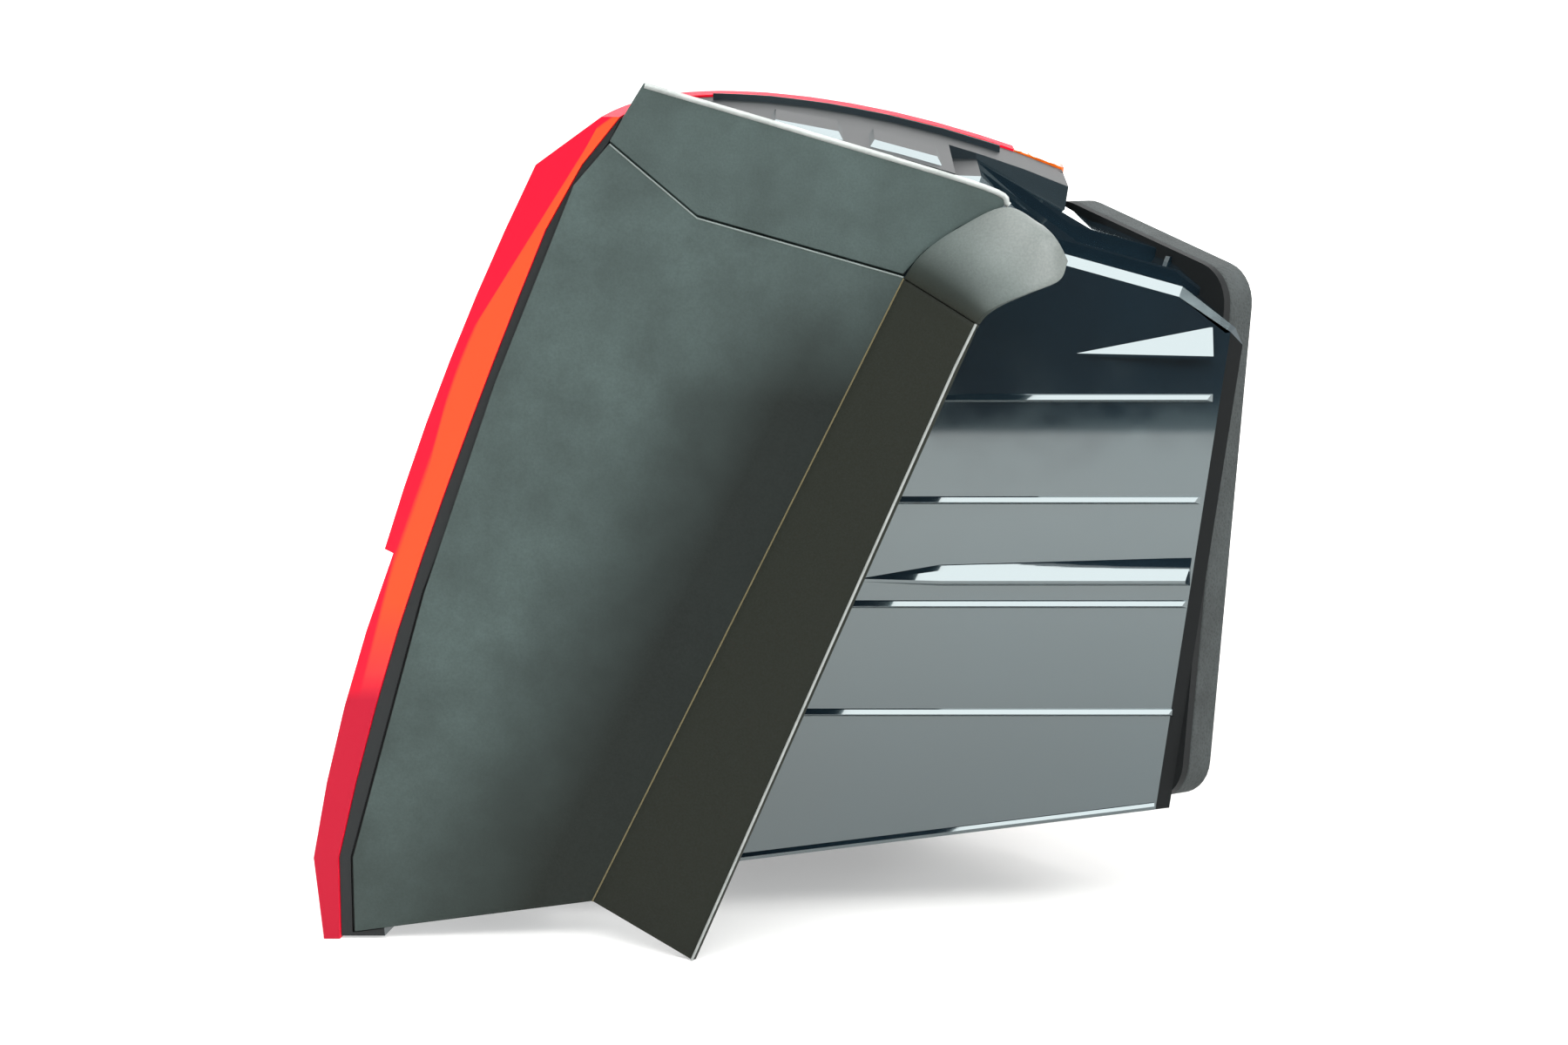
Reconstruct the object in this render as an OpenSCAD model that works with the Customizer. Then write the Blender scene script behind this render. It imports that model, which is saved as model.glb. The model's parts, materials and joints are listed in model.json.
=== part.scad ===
// Rear lamp cluster for the left side of a car, with the cover that fills the gap to the tailgate.
// +X points to the front of the car, +Y to its outer side, +Z up.
// The shapes are drawn from a datum: the rearmost line of the lens (X), the inner face of the
// side cover (Y) and the lower edge of the lens (Z). seated() then moves the origin to the foot
// of the upper stud's shank.

/* [Lens] */
// Height of the lens at its crown
lens_h = 287; // [270:1:310]
// Length from the rearmost line to the front tip
lens_len = 262; // [252:1:275]
// Width of the lens across its foot
lens_w = 158; // [150:1:168]
// Narrowing of the lens for each millimetre of height
lens_taper = 0.185; // [0.15:0.005:0.2]
// Bulge of the outer side at mid height
lens_bulge = 3; // [0:0.5:5]
// Thickness of the lens
lens_wall = 3; // [2.2:0.1:3.5]
// Depth of the skirt behind the lens face
skirt_d = 8.4; // [7:0.2:10]
// Height of the bevel at the foot of the lens
nib_h = 29.5; // [20:0.5:36]
// Set-back of the foot bevel
nib_in = 2.8; // [1:0.2:4]
// Height at which the upper lens steps out
step_h = 138; // [130:1:146]
// How far the upper lens stands out
step_out = 3.5; // [2:0.25:4.5]
// Rake of the lens below the step, per millimetre of height
rake_low = 0.275; // [0.25:0.005:0.3]
// Rake of the lens above the step, per millimetre of height
rake_high = 0.403; // [0.39:0.005:0.41]
// Backward bow of the lens between its corners
rake_bow = 3; // [1:0.2:4]
// Height of the bevel at the upper rear corner
corner_h = 16; // [12:1:18]
// Inner edge of the coloured windows, from the cover side
window_y = 14; // [12:0.5:20]
// Outer edge of the coloured windows
window_far = 94; // [84:1:98]
// Width of the amber strip at the front tip
marker_w = 19; // [14:1:24]
// Gap round each coloured window
window_gap = 0.15; // [0.1:0.05:0.3]

/* [Housing] */
// Wall of the housing
wall = 2.5; // [2:0.1:3]
// Gap between the lens skirt and the housing rim
weld_gap = 0.3; // [0.2:0.05:0.4]
// Width of the glossy rim that shows between lens and cover
rim_w = 4.2; // [3:0.2:6]
// Set-back of the housing's edge from the outline of the lens
edge_in = 0.8; // [0.7:0.05:0.9]
// Rise of the underside for each millimetre of length
floor_rise = 0.13; // [0.11:0.005:0.15]
// Width of the foot that follows the lens
foot_band = 13; // [11:0.5:16]
// Distance of the side pocket from the tunnel, at its foot
pocket_y = 35; // [31:1:38]
// Inner side of the forward tunnel
tunnel_y = 25; // [24:0.5:28]
// Width of the forward tunnel
tunnel_w = 53; // [52:1:56]
// Height of the tunnel roof at its break line
tunnel_h = 236; // [230:1:240]
// Fall of the tunnel roof for each millimetre of length
roof_fall = 0.28; // [0.25:0.01:0.3]
// Rise of each step in the tunnel roof towards the outer side
roof_rise = 3; // [2:0.25:3.5]
// Width of each step in the tunnel roof
roof_tread = 17; // [15:0.5:18]
// Proud height of the ribs on the tunnel side
rib_out = 1.4; // [1:0.1:2.5]
// Proud height of the ledge on the tunnel side
ledge_out = 3; // [2:0.25:4]
// Proud height of the ramp beside the flange
ramp_out = 5; // [3:0.25:5.5]
// Proud height of the ribs and pads on the crown of the housing
crown_rib = 2.4; // [1.5:0.1:3]
// Thickness of the ribs
rib_t = 1.8; // [1.2:0.1:2.4]

/* [Flange and gasket] */
// Angle of the mounting flange, from across the car
flange_yaw = 42; // [40:0.5:44]
// Lean of the mounting flange from upright
flange_pitch = 5.5; // [5:0.25:6]
// Distance of the flange's foot from the datum
flange_x = 292; // [290:0.5:294]
// Thickness of the flange plate
flange_t = 3; // [2.4:0.1:4]
// Overhang of the flange on the near side
flange_near = 8; // [7:0.5:9]
// Overhang of the flange on the far side
flange_far = 12.7; // [10:0.1:13]
// Corner radius of the flange
flange_r = 14; // [12:0.5:20]
// Thickness of the foam gasket
gasket_t = 12; // [8:0.5:13]
// Width of the foam gasket
gasket_w = 12; // [10:0.5:13]
// Room left round the gasket
gasket_room = 1; // [0.5:0.25:2]

/* [Side cover] */
// Thickness of the cover
cover_t = 2.5; // [2:0.1:2.6]
// Gap between cover and housing
cover_gap = 0.5; // [0.3:0.1:0.6]
// Set-back of the upper band of the cover
band_in = 0.9; // [0.6:0.1:1.2]
// Height of the cover's apex above the lens crown
apex_up = 11; // [8:0.5:13]
// Distance of the cover's apex from the datum
apex_x = 116; // [112:0.5:120]
// Distance of the fold's foot from the datum
fold_x0 = 96; // [92:0.5:100]
// Height of the fold's foot
fold_z0 = 13.7; // [12:0.1:16]
// Run of the fold for each millimetre of height
fold_run = 0.485; // [0.47:0.005:0.5]
// How far the flared lip stands out from the cover
lip_out = 22; // [18:0.5:24]
// Distance of the lip's foot from the datum
lip_x0 = 131; // [127:0.5:135]

/* [Lamp inside] */
// Distance of the highest bulb below the crown, up the bulkhead
bulb_drop = 97; // [96:0.5:99]
// Height of the lowest bulb up the bulkhead
bulb_low = 66; // [64:0.5:68]
// Radius of the bulb glass
glass_r = 12.5; // [11:0.25:12.5]
// Radius of the bulb base
base_r = 7.5; // [7:0.1:8]
// Length of a bulb in front of its shoulder
glass_l = 33; // [30:0.5:35]
// Radius of a reflector bowl at its mouth
bowl_r = 29; // [27:0.5:29.5]
// Depth of a reflector bowl
bowl_d = 38; // [34:1:42]
// Wall of the reflector
reflector_t = 1.6; // [1.2:0.1:2]
// Distance from lens to reflector bezel
bezel_gap = 14; // [12:0.5:18]
// Half width of the bulb carrier's opening
port_hw = 19; // [18:0.25:19.5]
// Overlap of the carrier on the bulkhead
carrier_lap = 3.5; // [2.5:0.25:4]
// Thickness of the bulb carrier
carrier_t = 3.5; // [3:0.25:4.5]
// Thickness of the carrier seal
seal_t = 1.5; // [1:0.1:2]
// Thickness of the contact strips
strip_t = 0.8; // [0.5:0.1:1.2]

/* [Fixings] */
// Radius of the mounting studs
stud_r = 3; // [2.5:0.25:3.5]
// Length of the stud in front of its collar
stud_l = 22; // [18:1:28]
// Radius of the stud collar
collar_r = 7; // [6:0.25:7.5]
// Thickness of the stud collar
collar_t = 2; // [1.5:0.25:2.5]
// Thickness of the sealing washer under the collar
washer_t = 1.5; // [1:0.25:2]
// Length of the stud's root in its boss
root_l = 9; // [7:0.5:10]
// Radius of the stud's root
root_r = 4; // [3.75:0.25:4.25]
// Radius of the locating pin
pin_r = 4; // [3:0.25:4.5]
// Length of the locating pin
pin_l = 16; // [12:0.5:20]
// Radius of the locating pin's root
pin_root_r = 5; // [4.75:0.25:5.5]
// Gap round pressed and seated pieces
seat_gap = 0.1; // [0.05:0.01:0.15]

/* [Hidden] */
big = 400;
eps = 0.01;
curve_n = 26;
step_ramp = 1.5;
crown_x = 126;
crown_fall = 0.081;
crown_curve = 0.00124;
corner_rake = 1.37;
rim_corner_rake = 0.8;
rim_bow = 1.3;
front_lean = 0.1235;
rim_bend = 124;
rim_low = 0.281;
rim_high = 0.386;
floor_z0 = 2.6;
roof_x = 257;
roof_end = 298;
bulb_y = tunnel_y + tunnel_w / 2;
bulb_pitch = (lens_h - bulb_drop - bulb_low) / 2;
bulb_z = [for (i = [0:2]) bulb_low + i * bulb_pitch];
lean = atan(fold_run);
port_low = bulb_z[0] - port_hw - 3;
port_high = bulb_z[2] + port_hw + 3;
tunnel_far = tunnel_y + tunnel_w;
flange_s1 = tunnel_w / cos(flange_yaw) + flange_far;
stud_low_z = 64;
stud_high_z = lens_h - 78;
stud_s = 26;
shank_x = flange_t + washer_t + collar_t;
carrier_face = seal_t + carrier_t;
socket_z = (bulb_z[0] + bulb_z[1]) / 2;
bezel_x = fold_x0 + (port_high - 1) * sin(lean);
vent_r = 4;
vent_y = bulb_y - 12;
vent_z = port_high + 14;
pin_s = 60;
hole_r = 8;
hole_s0 = 12;
hole_s1 = 60;
hole_z0 = 80;
hole_z1 = lens_h - 101;
clear_z = [step_h - 36, step_h - 4];
amber_z = [step_h + 6, step_h + 0.403 * (lens_h - step_h)];
prism_y = [12, lens_w - 78];
prism_z = [12, step_h - 50];
prism_step = 8;
rib_z = [74, 113, 150, 186];
ledge_z = 121.5;
ledge_x = [188, 216];
ramp_x = 262;
ramp_z = 201;
pad_x = [158, 191];
pad_l = 24;

// Lines that shape the lamp, as functions of height or length

function bow(z, z0, z1) = z <= z0 || z >= z1 ? 0 : 4 * (z - z0) * (z1 - z) / pow(z1 - z0, 2);
function rear_x(z) =
    let (corner_z = lens_h - corner_h, s = step_h + step_ramp)
    z < nib_h ? nib_in * (nib_h - z) / nib_h
    : z <= step_h ? rake_low * (z - nib_h) - rake_bow * bow(z, nib_h, step_h)
    : rake_low * (step_h - nib_h) - step_out * min((z - step_h) / step_ramp, 1)
        + rake_high * (z - step_h) + (corner_rake - rake_high) * max(z - corner_z, 0)
        - rake_bow * bow(z, s, corner_z);
function rim_x(z) =
    let (corner_z = lens_h - corner_h - skirt_d)
    skirt_d + rim_low * max(z - nib_h, 0) + (rim_high - rim_low) * max(z - rim_bend, 0)
        + (rim_corner_rake - rim_high) * max(z - corner_z, 0)
        - rim_bow * (bow(z, nib_h, rim_bend) + bow(z, rim_bend, corner_z));
function wide(z) = lens_w - lens_taper * z + lens_bulge * 4 * z * (lens_h - z) / (lens_h * lens_h);
function front_x(z) = lens_len - front_lean * (lens_h - 34 - z);
function top_z(x) = lens_h - crown_fall * max(x - crown_x, 0) - crown_curve * pow(max(x - crown_x, 0), 2);
function floor_z(x) = floor_z0 + floor_rise * (x - skirt_d - rim_w);
function pocket_side(z) =
    tunnel_far + pocket_y - lens_taper * z + lens_bulge * 4 * z * (lens_h - z) / (lens_h * lens_h);
function fold_x(z) = fold_x0 + fold_run * (z - fold_z0);
function end_x(z) = flange_x + z * sin(flange_pitch);
function lip_x(z) = lip_x0 + 0.375 * z + 0.105 * max(z - 100, 0);
function roof_z(x) = tunnel_h - roof_fall * (x - roof_x) - 0.5 * max(x - roof_end, 0);
function bezier(p, t) =
    pow(1 - t, 3) * p[0] + 3 * t * pow(1 - t, 2) * p[1] + 3 * t * t * (1 - t) * p[2] + pow(t, 3) * p[3];

// Plan of the lamp at one height: x0 is the rear line there and w the width
function plan(z, x0, w) =
    let (xf = front_x(z), p = [[x0, 0], [x0 + 0.12 * w, 0.55 * w], [x0 + 0.35 * w, 0.86 * w], [xf, w]])
    concat(
        [[x0, -20, z], [xf + 60, -20, z], [xf + 60, w, z]],
        [for (i = [curve_n:-1:0]) let (q = bezier(p, i / curve_n)) [q[0], q[1], z]]
    );

function heights() =
    let (s = step_h + step_ramp)
    concat(
        [-6], [for (i = [0:2]) nib_h * i / 2],
        [for (i = [1:4]) nib_h + (step_h - nib_h) * i / 4],
        [s], [for (i = [1:6]) s + (lens_h - corner_h - s) * i / 6],
        [lens_h, lens_h + 12]
    );

// A skin through rings of points that all have the same count
module loft(rings) {
    n = len(rings[0]);
    m = len(rings);
    sides = [
        for (j = [0:m - 2]) for (i = [0:n - 1]) each [
            [j * n + i, (j + 1) * n + i, (j + 1) * n + (i + 1) % n],
            [j * n + i, (j + 1) * n + (i + 1) % n, j * n + (i + 1) % n]
        ]
    ];
    polyhedron(
        [for (r = rings) each r],
        concat([[for (i = [0:n - 1]) i]], sides, [[for (i = [n - 1:-1:0]) (m - 1) * n + i]])
    );
}

// The lens body, set in by the given amount from its outer skin
module envelope(inset) {
    loft([for (z = heights()) plan(z, rear_x(z) + inset, wide(z) - inset)]);
}

// Everything in front of the joint between lens and housing
module rim_body(inset) {
    loft([for (z = heights()) plan(z, rim_x(z) + inset, wide(z) - skirt_d - inset)]);
}

// Side view of the lens, set in by the given amount
function side_view(inset) = concat(
    [[-30, inset], [front_x(0) - 17, inset], [front_x(10) - inset, 10 + inset]],
    [[front_x(lens_h - 34) - inset, top_z(lens_len) - inset]],
    [for (i = [8:-1:0]) let (x = crown_x + (lens_len - inset - crown_x) * i / 9) [x, top_z(x) - inset]],
    [[-30, lens_h - inset]]
);

// An outline in X and Z, extruded across the car from y0 to y1
module slice(outline, y0, y1) {
    translate([0, y1, 0]) rotate([90, 0, 0]) linear_extrude(y1 - y0) polygon(outline);
}

// Local frames: up the leaning bulkhead, and across the mounting flange
module on_bulkhead() translate([fold_x0, 0, fold_z0]) rotate([0, lean, 0]) children();
module on_flange() translate([flange_x, tunnel_y, 0]) rotate([0, flange_pitch, flange_yaw]) children();
module facing(h) rotate([90, 0, 90]) linear_extrude(h) children();
module block(low, high) translate(low) cube(high - low);
module rod_x(x0, x1, y, z, r)
    translate([x0, y, z]) rotate([0, 90, 0]) cylinder(h = x1 - x0, r = r, $fn = 40);

// Origin of the finished part: foot of the upper stud's shank
module seated() {
    out = shank_x * cos(flange_pitch) + stud_high_z * sin(flange_pitch);
    c = [flange_x + out * cos(flange_yaw) - stud_s * sin(flange_yaw),
         tunnel_y + out * sin(flange_yaw) + stud_s * cos(flange_yaw),
         stud_high_z * cos(flange_pitch) - shank_x * sin(flange_pitch)];
    translate(-c) children();
}

// Lens

// Ribs that stiffen the inner edge of the skirt
module lens_tabs() {
    for (i = [0:8]) {
        z = 32 + i * 25;
        hull() {
            block([rear_x(z) + 4, lens_wall - eps, z], [rim_x(z) - 1, lens_wall + 0.8, z + 3]);
            block([rear_x(z) + 4, lens_wall - eps, z - 1], [rim_x(z) - 2, lens_wall + 0.1, z + 4]);
        }
    }
}

module lens_shell() {
    difference() {
        union() {
            difference() {
                intersection() {
                    envelope(0);
                    slice(side_view(0), 0, big);
                }
                intersection() {
                    envelope(lens_wall);
                    slice(side_view(lens_wall), lens_wall, big);
                }
            }
            intersection() {
                envelope(lens_wall - eps);
                lens_tabs();
            }
        }
        rim_body(0);
    }
}

module window(z, gap) {
    block([-big, window_y - gap, z[0] - gap], [crown_x + 34, window_far + gap, z[1] + gap]);
}

module marker_zone(gap) {
    w = marker_w + gap;
    slice([[front_x(-20) - w, -20], [big, -20], [big, big], [front_x(big) - w, big]], -20, big);
}

module lens_red() {
    color([0.78, 0.04, 0.08]) difference() {
        lens_shell();
        window(clear_z, window_gap);
        window(amber_z, window_gap);
        marker_zone(window_gap);
    }
}

module lens_clear() {
    color([0.92, 0.94, 0.95]) intersection() {
        lens_shell();
        window(clear_z, 0);
    }
}

module lens_amber() {
    color([0.95, 0.5, 0.08]) intersection() {
        lens_shell();
        window(amber_z, 0);
    }
}

module marker_window() {
    color([0.95, 0.4, 0.06]) intersection() {
        lens_shell();
        marker_zone(0);
    }
}

// Red corner prisms behind the foot of the lens

module reflex_insert() {
    color([0.62, 0.02, 0.05]) intersection() {
        difference() {
            envelope(lens_wall + 0.3);
            envelope(lens_wall + 4.3);
        }
        union() {
            block([-30, prism_y[0], prism_z[0]], [80, prism_y[1], prism_z[1]]);
            for (z = [prism_z[0] + 2:prism_step:prism_z[1] - prism_step + 6]) hull() {
                block([0, prism_y[0] + 2, z], [60, prism_y[1] - 2, z + 2]);
                block([0, prism_y[0] + 2, z + 1], [62, prism_y[1] - 2, z + prism_step - 1]);
            }
        }
    }
}

// Housing

// Side view of the tunnel, with its roof raised by the given amount
module tunnel_side(inset, up) {
    turn = roof_x + 2 * up;
    polygon([
        [-big, floor_z(-big) + inset],
        [big, floor_z(big) + inset],
        [big, roof_z(big) + up - inset],
        [roof_end, roof_z(roof_end) + up - inset],
        [turn, roof_z(turn) + up - inset],
        [roof_x - 28, top_z(roof_x - 28) - 3 - inset],
        [-big, lens_h - 4 - inset]
    ]);
}

// What the basin leaves free: the space beside the tunnel and in front of the flange
module behind(inset) {
    intersection() {
        loft([for (z = heights()) plan(z, -60, pocket_side(z) + inset)]);
        on_bulkhead() block([-inset, -big, -big], [big, big, big]);
    }
    intersection() {
        loft([for (z = heights()) plan(z, -60, wide(z) - skirt_d - 6 + inset)]);
        on_flange() block([-inset, -big, -big], [big, big, big]);
    }
    intersection() {
        loft([
            for (z = heights())
                plan(z, rear_x(z) + foot_band + 8 - inset, wide(z) - skirt_d - foot_band + inset)
        ]);
        slice(
            [[-big, floor_z(-big) + inset], [big, floor_z(big) + inset], [big, -big], [-big, -big]],
            -50, big
        );
    }
}

module basin() {
    difference() {
        intersection() {
            rim_body(weld_gap);
            slice(side_view(edge_in), band_in, big);
        }
        behind(0);
        translate([0, cover_t + cover_gap, 0]) rotate([90, 0, 0]) linear_extrude(big)
            offset(delta = cover_gap) cover_outline();
        on_flange() translate([flange_t, 0, 0]) facing(big) flange_outline(-gasket_room);
    }
}

module basin_cavity() {
    difference() {
        intersection() {
            envelope(-5);
            slice(side_view(edge_in + wall), cover_t + cover_gap + wall, big);
        }
        behind(wall);
    }
}

// The tunnel runs from the bulkhead to the mounting flange, with its roof in three steps
module tunnel(inset, start) {
    intersection() {
        union() for (k = [0:2]) translate([0, tunnel_far - inset, 0]) rotate([90, 0, 0])
            linear_extrude(tunnel_w - k * roof_tread - 2 * inset) tunnel_side(inset, k * roof_rise);
        on_bulkhead() block([start, -big, -big], [big, big, big]);
        on_flange() block([-big, -big, -big], [inset + eps, big, big]);
    }
}

function flange_top(s) = lens_h - 54 + 0.13 * s;

// Outline of the mounting flange, in distance across it and height
module flange_outline(inset) {
    r = flange_r - inset;
    hull() {
        translate([-flange_near + flange_r, 42 + flange_r]) circle(r, $fn = 32);
        translate([flange_s1 - flange_r, 36 + flange_r]) circle(r, $fn = 32);
        translate([-flange_near + flange_r, flange_top(0) - flange_r - 2]) circle(r, $fn = 32);
        translate([flange_s1 - flange_r, flange_top(flange_s1) - flange_r]) circle(r, $fn = 32);
    }
}

module flange() {
    on_flange() difference() {
        facing(flange_t) flange_outline(0);
        translate([-1, 0, 0]) facing(flange_t + 2) hull()
            for (s = [hole_s0 + hole_r, hole_s1 - hole_r], z = [hole_z0 + hole_r, hole_z1 - hole_r])
                translate([s, z]) circle(hole_r, $fn = 24);
    }
}

// Ribs, a ledge, a ramp up to the flange and a foot rib on the near side of the tunnel
module side_ribs() {
    for (z = rib_z) hull() {
        block([fold_x(z) + 1, tunnel_y - rib_out, z], [end_x(z) - 3, tunnel_y + 1, z + rib_t * 0.6]);
        block([fold_x(z) + 1, tunnel_y, z - 1], [end_x(z) - 1, tunnel_y + 1, z + rib_t]);
    }
    hull() {
        block([ledge_x[0], tunnel_y, ledge_z], [ledge_x[0] + 2, tunnel_y + 1, ledge_z + 1]);
        block([ledge_x[1], tunnel_y - ledge_out, ledge_z], [ledge_x[1] + 1, tunnel_y + 1, ledge_z + 1]);
        block([ledge_x[1], tunnel_y, ledge_z - 1.5], [ledge_x[1] + 1, tunnel_y + 1, ledge_z + 6]);
    }
    hull() {
        block([ledge_x[1], tunnel_y - ledge_out, ledge_z], [end_x(ledge_z) - 3, tunnel_y + 1, ledge_z + 1]);
        block([ledge_x[1], tunnel_y, ledge_z - 1.5], [end_x(ledge_z) - 1, tunnel_y + 1, ledge_z + 6]);
    }
    ramp_end = end_x(ramp_z) - 4;
    hull() {
        block([ramp_x, tunnel_y, ramp_z], [ramp_x + 1, tunnel_y + 1, ramp_z + 1]);
        block([ramp_end, tunnel_y - ramp_out, ramp_z], [ramp_end + 1, tunnel_y + 1, ramp_z + 1]);
        block([ramp_end, tunnel_y, ramp_z], [ramp_end + 1, tunnel_y + 1, ramp_z + 10]);
    }
    foot = [fold_x(10) + 8, end_x(40) - 4];
    slice([
        [foot[0], floor_z(foot[0]) + 0.4], [foot[1], floor_z(foot[1]) + 0.4],
        [foot[1], floor_z(foot[1]) + 2.6], [foot[0], floor_z(foot[0]) + 2.6]
    ], tunnel_y - rib_out, tunnel_y + 1);
}

// A rib that follows the outer edge of the crown, and two pads beside the cover
module crown_ribs() {
    intersection() {
        difference() {
            loft([for (z = heights()) plan(z, rim_x(z), wide(z) - skirt_d - foot_band)]);
            loft([for (z = heights()) plan(z, rim_x(z), wide(z) - skirt_d - foot_band - rib_t)]);
        }
        slice(concat(
            [for (x = [138:20:238]) [x, top_z(x) - edge_in - 0.7]],
            [for (x = [238:-20:138]) [x, top_z(x) - edge_in + crown_rib]]
        ), cover_t, big);
    }
    for (x = pad_x) hull() {
        crown_pad(x, x + pad_l, 0, [9, 36]);
        crown_pad(x + 1.5, x + pad_l - 1.5, crown_rib, [11, 34]);
    }
}

module crown_pad(x0, x1, up, y) {
    corners = [[x0, -1.5], [x1, -1.5], [x1, up], [x0, up]];
    slice([for (q = corners) [q[0], top_z(q[0]) - edge_in + q[1]]], y[0], y[1]);
}

// Webs that stiffen the flange above the tunnel roof
module gussets() {
    for (s = [18, 44, 66]) on_flange() hull() {
        block([-9, s, flange_top(s) - 22], [0.5, s + 2, flange_top(s) - 21]);
        block([-1, s, flange_top(s) - 22], [0.5, s + 2, flange_top(s) - 4]);
    }
}

module bosses() {
    on_flange() {
        for (z = [stud_low_z, stud_high_z]) rod_x(-root_l - wall, 1, stud_s, z, root_r + wall);
        rod_x(-root_l - wall, 1, pin_s, stud_low_z, pin_root_r + wall);
    }
}

module boss_holes() {
    on_flange() {
        for (z = [stud_low_z, stud_high_z])
            rod_x(-root_l - seat_gap, flange_t + 1, stud_s, z, root_r + seat_gap);
        rod_x(-root_l - seat_gap, flange_t + 1, pin_s, stud_low_z, pin_root_r + seat_gap);
    }
}

module carrier_port() {
    on_bulkhead() block([-wall - 1, bulb_y - port_hw, port_low], [1, bulb_y + port_hw, port_high]);
}

module housing() {
    color([0.03, 0.04, 0.05]) difference() {
        union() {
            difference() {
                union() {
                    basin();
                    tunnel(0, -wall);
                    side_ribs();
                    crown_ribs();
                }
                basin_cavity();
                difference() {
                    tunnel(wall, 0);
                    basin();
                }
            }
            flange();
            gussets();
            bosses();
        }
        carrier_port();
        boss_holes();
        on_bulkhead() rod_x(-wall - 1, 1, vent_y, vent_z, vent_r);
    }
}

// Side cover

fold_zr = lens_h - 54.4;
roll_fold = [[6.6, 8.9], [18.1, 17.1], [32.5, 23.6], [43, 13]];
roll_lip = [[31.8, -3.1, 1], [41.8, 0.4, 0.85], [50.3, 2.7, 0.6], [54, 5.9, 0.15]];

function lip_stations() = concat(
    [for (i = [0:6]) let (zg = 219.3 * i / 6, zf = fold_z0 + (fold_zr - 4 - fold_z0) * i / 6)
        [[fold_x(zf), 0, zf], [lip_x(zg) + 2 * max(i - 5, 0), -lip_out, zg * (lens_h - 67.7) / 219.3]]],
    [for (i = [0:3]) [
        [fold_x(fold_zr) + roll_fold[i][0], 0, fold_zr + roll_fold[i][1]],
        [fold_x(fold_zr) + roll_lip[i][0], -lip_out * roll_lip[i][2], fold_zr + roll_lip[i][1]]
    ]]
);

module lip() {
    st = lip_stations();
    for (i = [0:len(st) - 2]) hull() for (p = [st[i][0], st[i][1], st[i + 1][0], st[i + 1][1]])
        translate(p + [-0.6, 0, 0]) cube([1.2, cover_t, 1.2]);
}

module cover_outline() {
    edge = skirt_d + weld_gap + rim_w;
    polygon(concat(
        [[edge + 0.3, floor_z0]],
        [for (z = [nib_h, rim_bend, lens_h - 23]) [rim_x(z) + weld_gap + rim_w + 0.3, z]],
        [[apex_x - 11.5, lens_h - 9], [apex_x - 6.2, lens_h + 1], [apex_x, lens_h + apex_up]],
        [[fold_x(fold_zr) + 26.8, lens_h - 23.5], [fold_x(fold_zr) + 35.8, lens_h - 29.5]],
        [for (q = [2:-1:0]) [fold_x(fold_zr) + roll_fold[q][0], fold_zr + roll_fold[q][1]]],
        [[fold_x(fold_zr), fold_zr], [fold_x0, fold_z0]]
    ));
}

// The upper band lies a little behind the lower panel
module band_outline() {
    polygon([
        [0, lens_h - 9], [apex_x - 11.5, lens_h - 9], [apex_x + 17.3, lens_h - 33.8],
        [fold_x(fold_zr), lens_h - 53.8], [fold_x(fold_zr) + 33, lens_h - 66],
        [big, lens_h - 66], [big, big], [0, big]
    ]);
}

module side_cover() {
    color([0.2, 0.22, 0.22]) difference() {
        union() {
            translate([0, cover_t, 0]) rotate([90, 0, 0]) linear_extrude(cover_t) cover_outline();
            lip();
        }
        translate([0, band_in, 0]) rotate([90, 0, 0]) linear_extrude(band_in + 1) intersection() {
            cover_outline();
            band_outline();
        }
    }
}

// Reflector with three bowls, behind the lens

module bowls(extra) {
    f = bowl_r * bowl_r / 4 / bowl_d;
    neck = glass_r + 1.5;
    h0 = neck * neck / 4 / f;
    for (z = bulb_z) translate([0, bulb_y, z]) rotate([0, -90, 0]) rotate_extrude($fn = 26) polygon(concat(
        [[0, 12 - extra]],
        [[neck + extra, 12 - extra], [neck + extra, 14 + h0]],
        [for (i = [1:5]) let (h = h0 + (bowl_d - h0) * i / 5) [sqrt(4 * f * h) + extra, 14 + h]],
        [[bowl_r + extra, big], [0, big]]
    ));
}

module bezel_skin() {
    difference() {
        intersection() {
            envelope(bezel_gap);
            slice(side_view(7), cover_t + cover_gap + wall + 0.6, big);
        }
        envelope(bezel_gap + reflector_t);
        block([bezel_x, -big, -big], [big, big, big]);
        block([-big, -big, -big], [big, big, 22]);
    }
}

module reflector_pegs() {
    on_bulkhead() for (z = bulb_z, s = [-1, 1]) let (y = bulb_y + s * (port_hw + 5)) hull() {
        block([-40, y - 2, z - 2], [-39, y + 2, z + 2]);
        block([-wall - weld_gap - 1, y - 1.5, z - 1.5], [-wall - weld_gap, y + 1.5, z + 1.5]);
    }
    web = max(bulb_pitch / 2 - bowl_r - 1, 0.5);
    on_bulkhead() for (z = [bulb_z[0] + bulb_pitch / 2, bulb_z[1] + bulb_pitch / 2]) hull() {
        block([-bowl_d - 22, bulb_y - 12, z - web], [-bowl_d - 21, bulb_y + 12, z + web]);
        block([-bowl_d - 14, bulb_y - 6, z - web], [-bowl_d - 13, bulb_y + 6, z + web]);
    }
}

module reflector() {
    color([0.85, 0.86, 0.88]) difference() {
        union() {
            bezel_skin();
            intersection() {
                envelope(bezel_gap);
                on_bulkhead() bowls(reflector_t);
            }
            reflector_pegs();
        }
        on_bulkhead() bowls(0);
        on_bulkhead() for (z = bulb_z) rod_x(-14, -9, bulb_y, z, base_r + 0.6);
    }
}

// Foam gasket on the mounting flange

module gasket() {
    color([0.16, 0.17, 0.17]) on_flange() translate([flange_t, 0, 0]) facing(gasket_t) difference() {
        flange_outline(0);
        flange_outline(gasket_w);
    }
}

// Bulb carrier and what it holds

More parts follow.
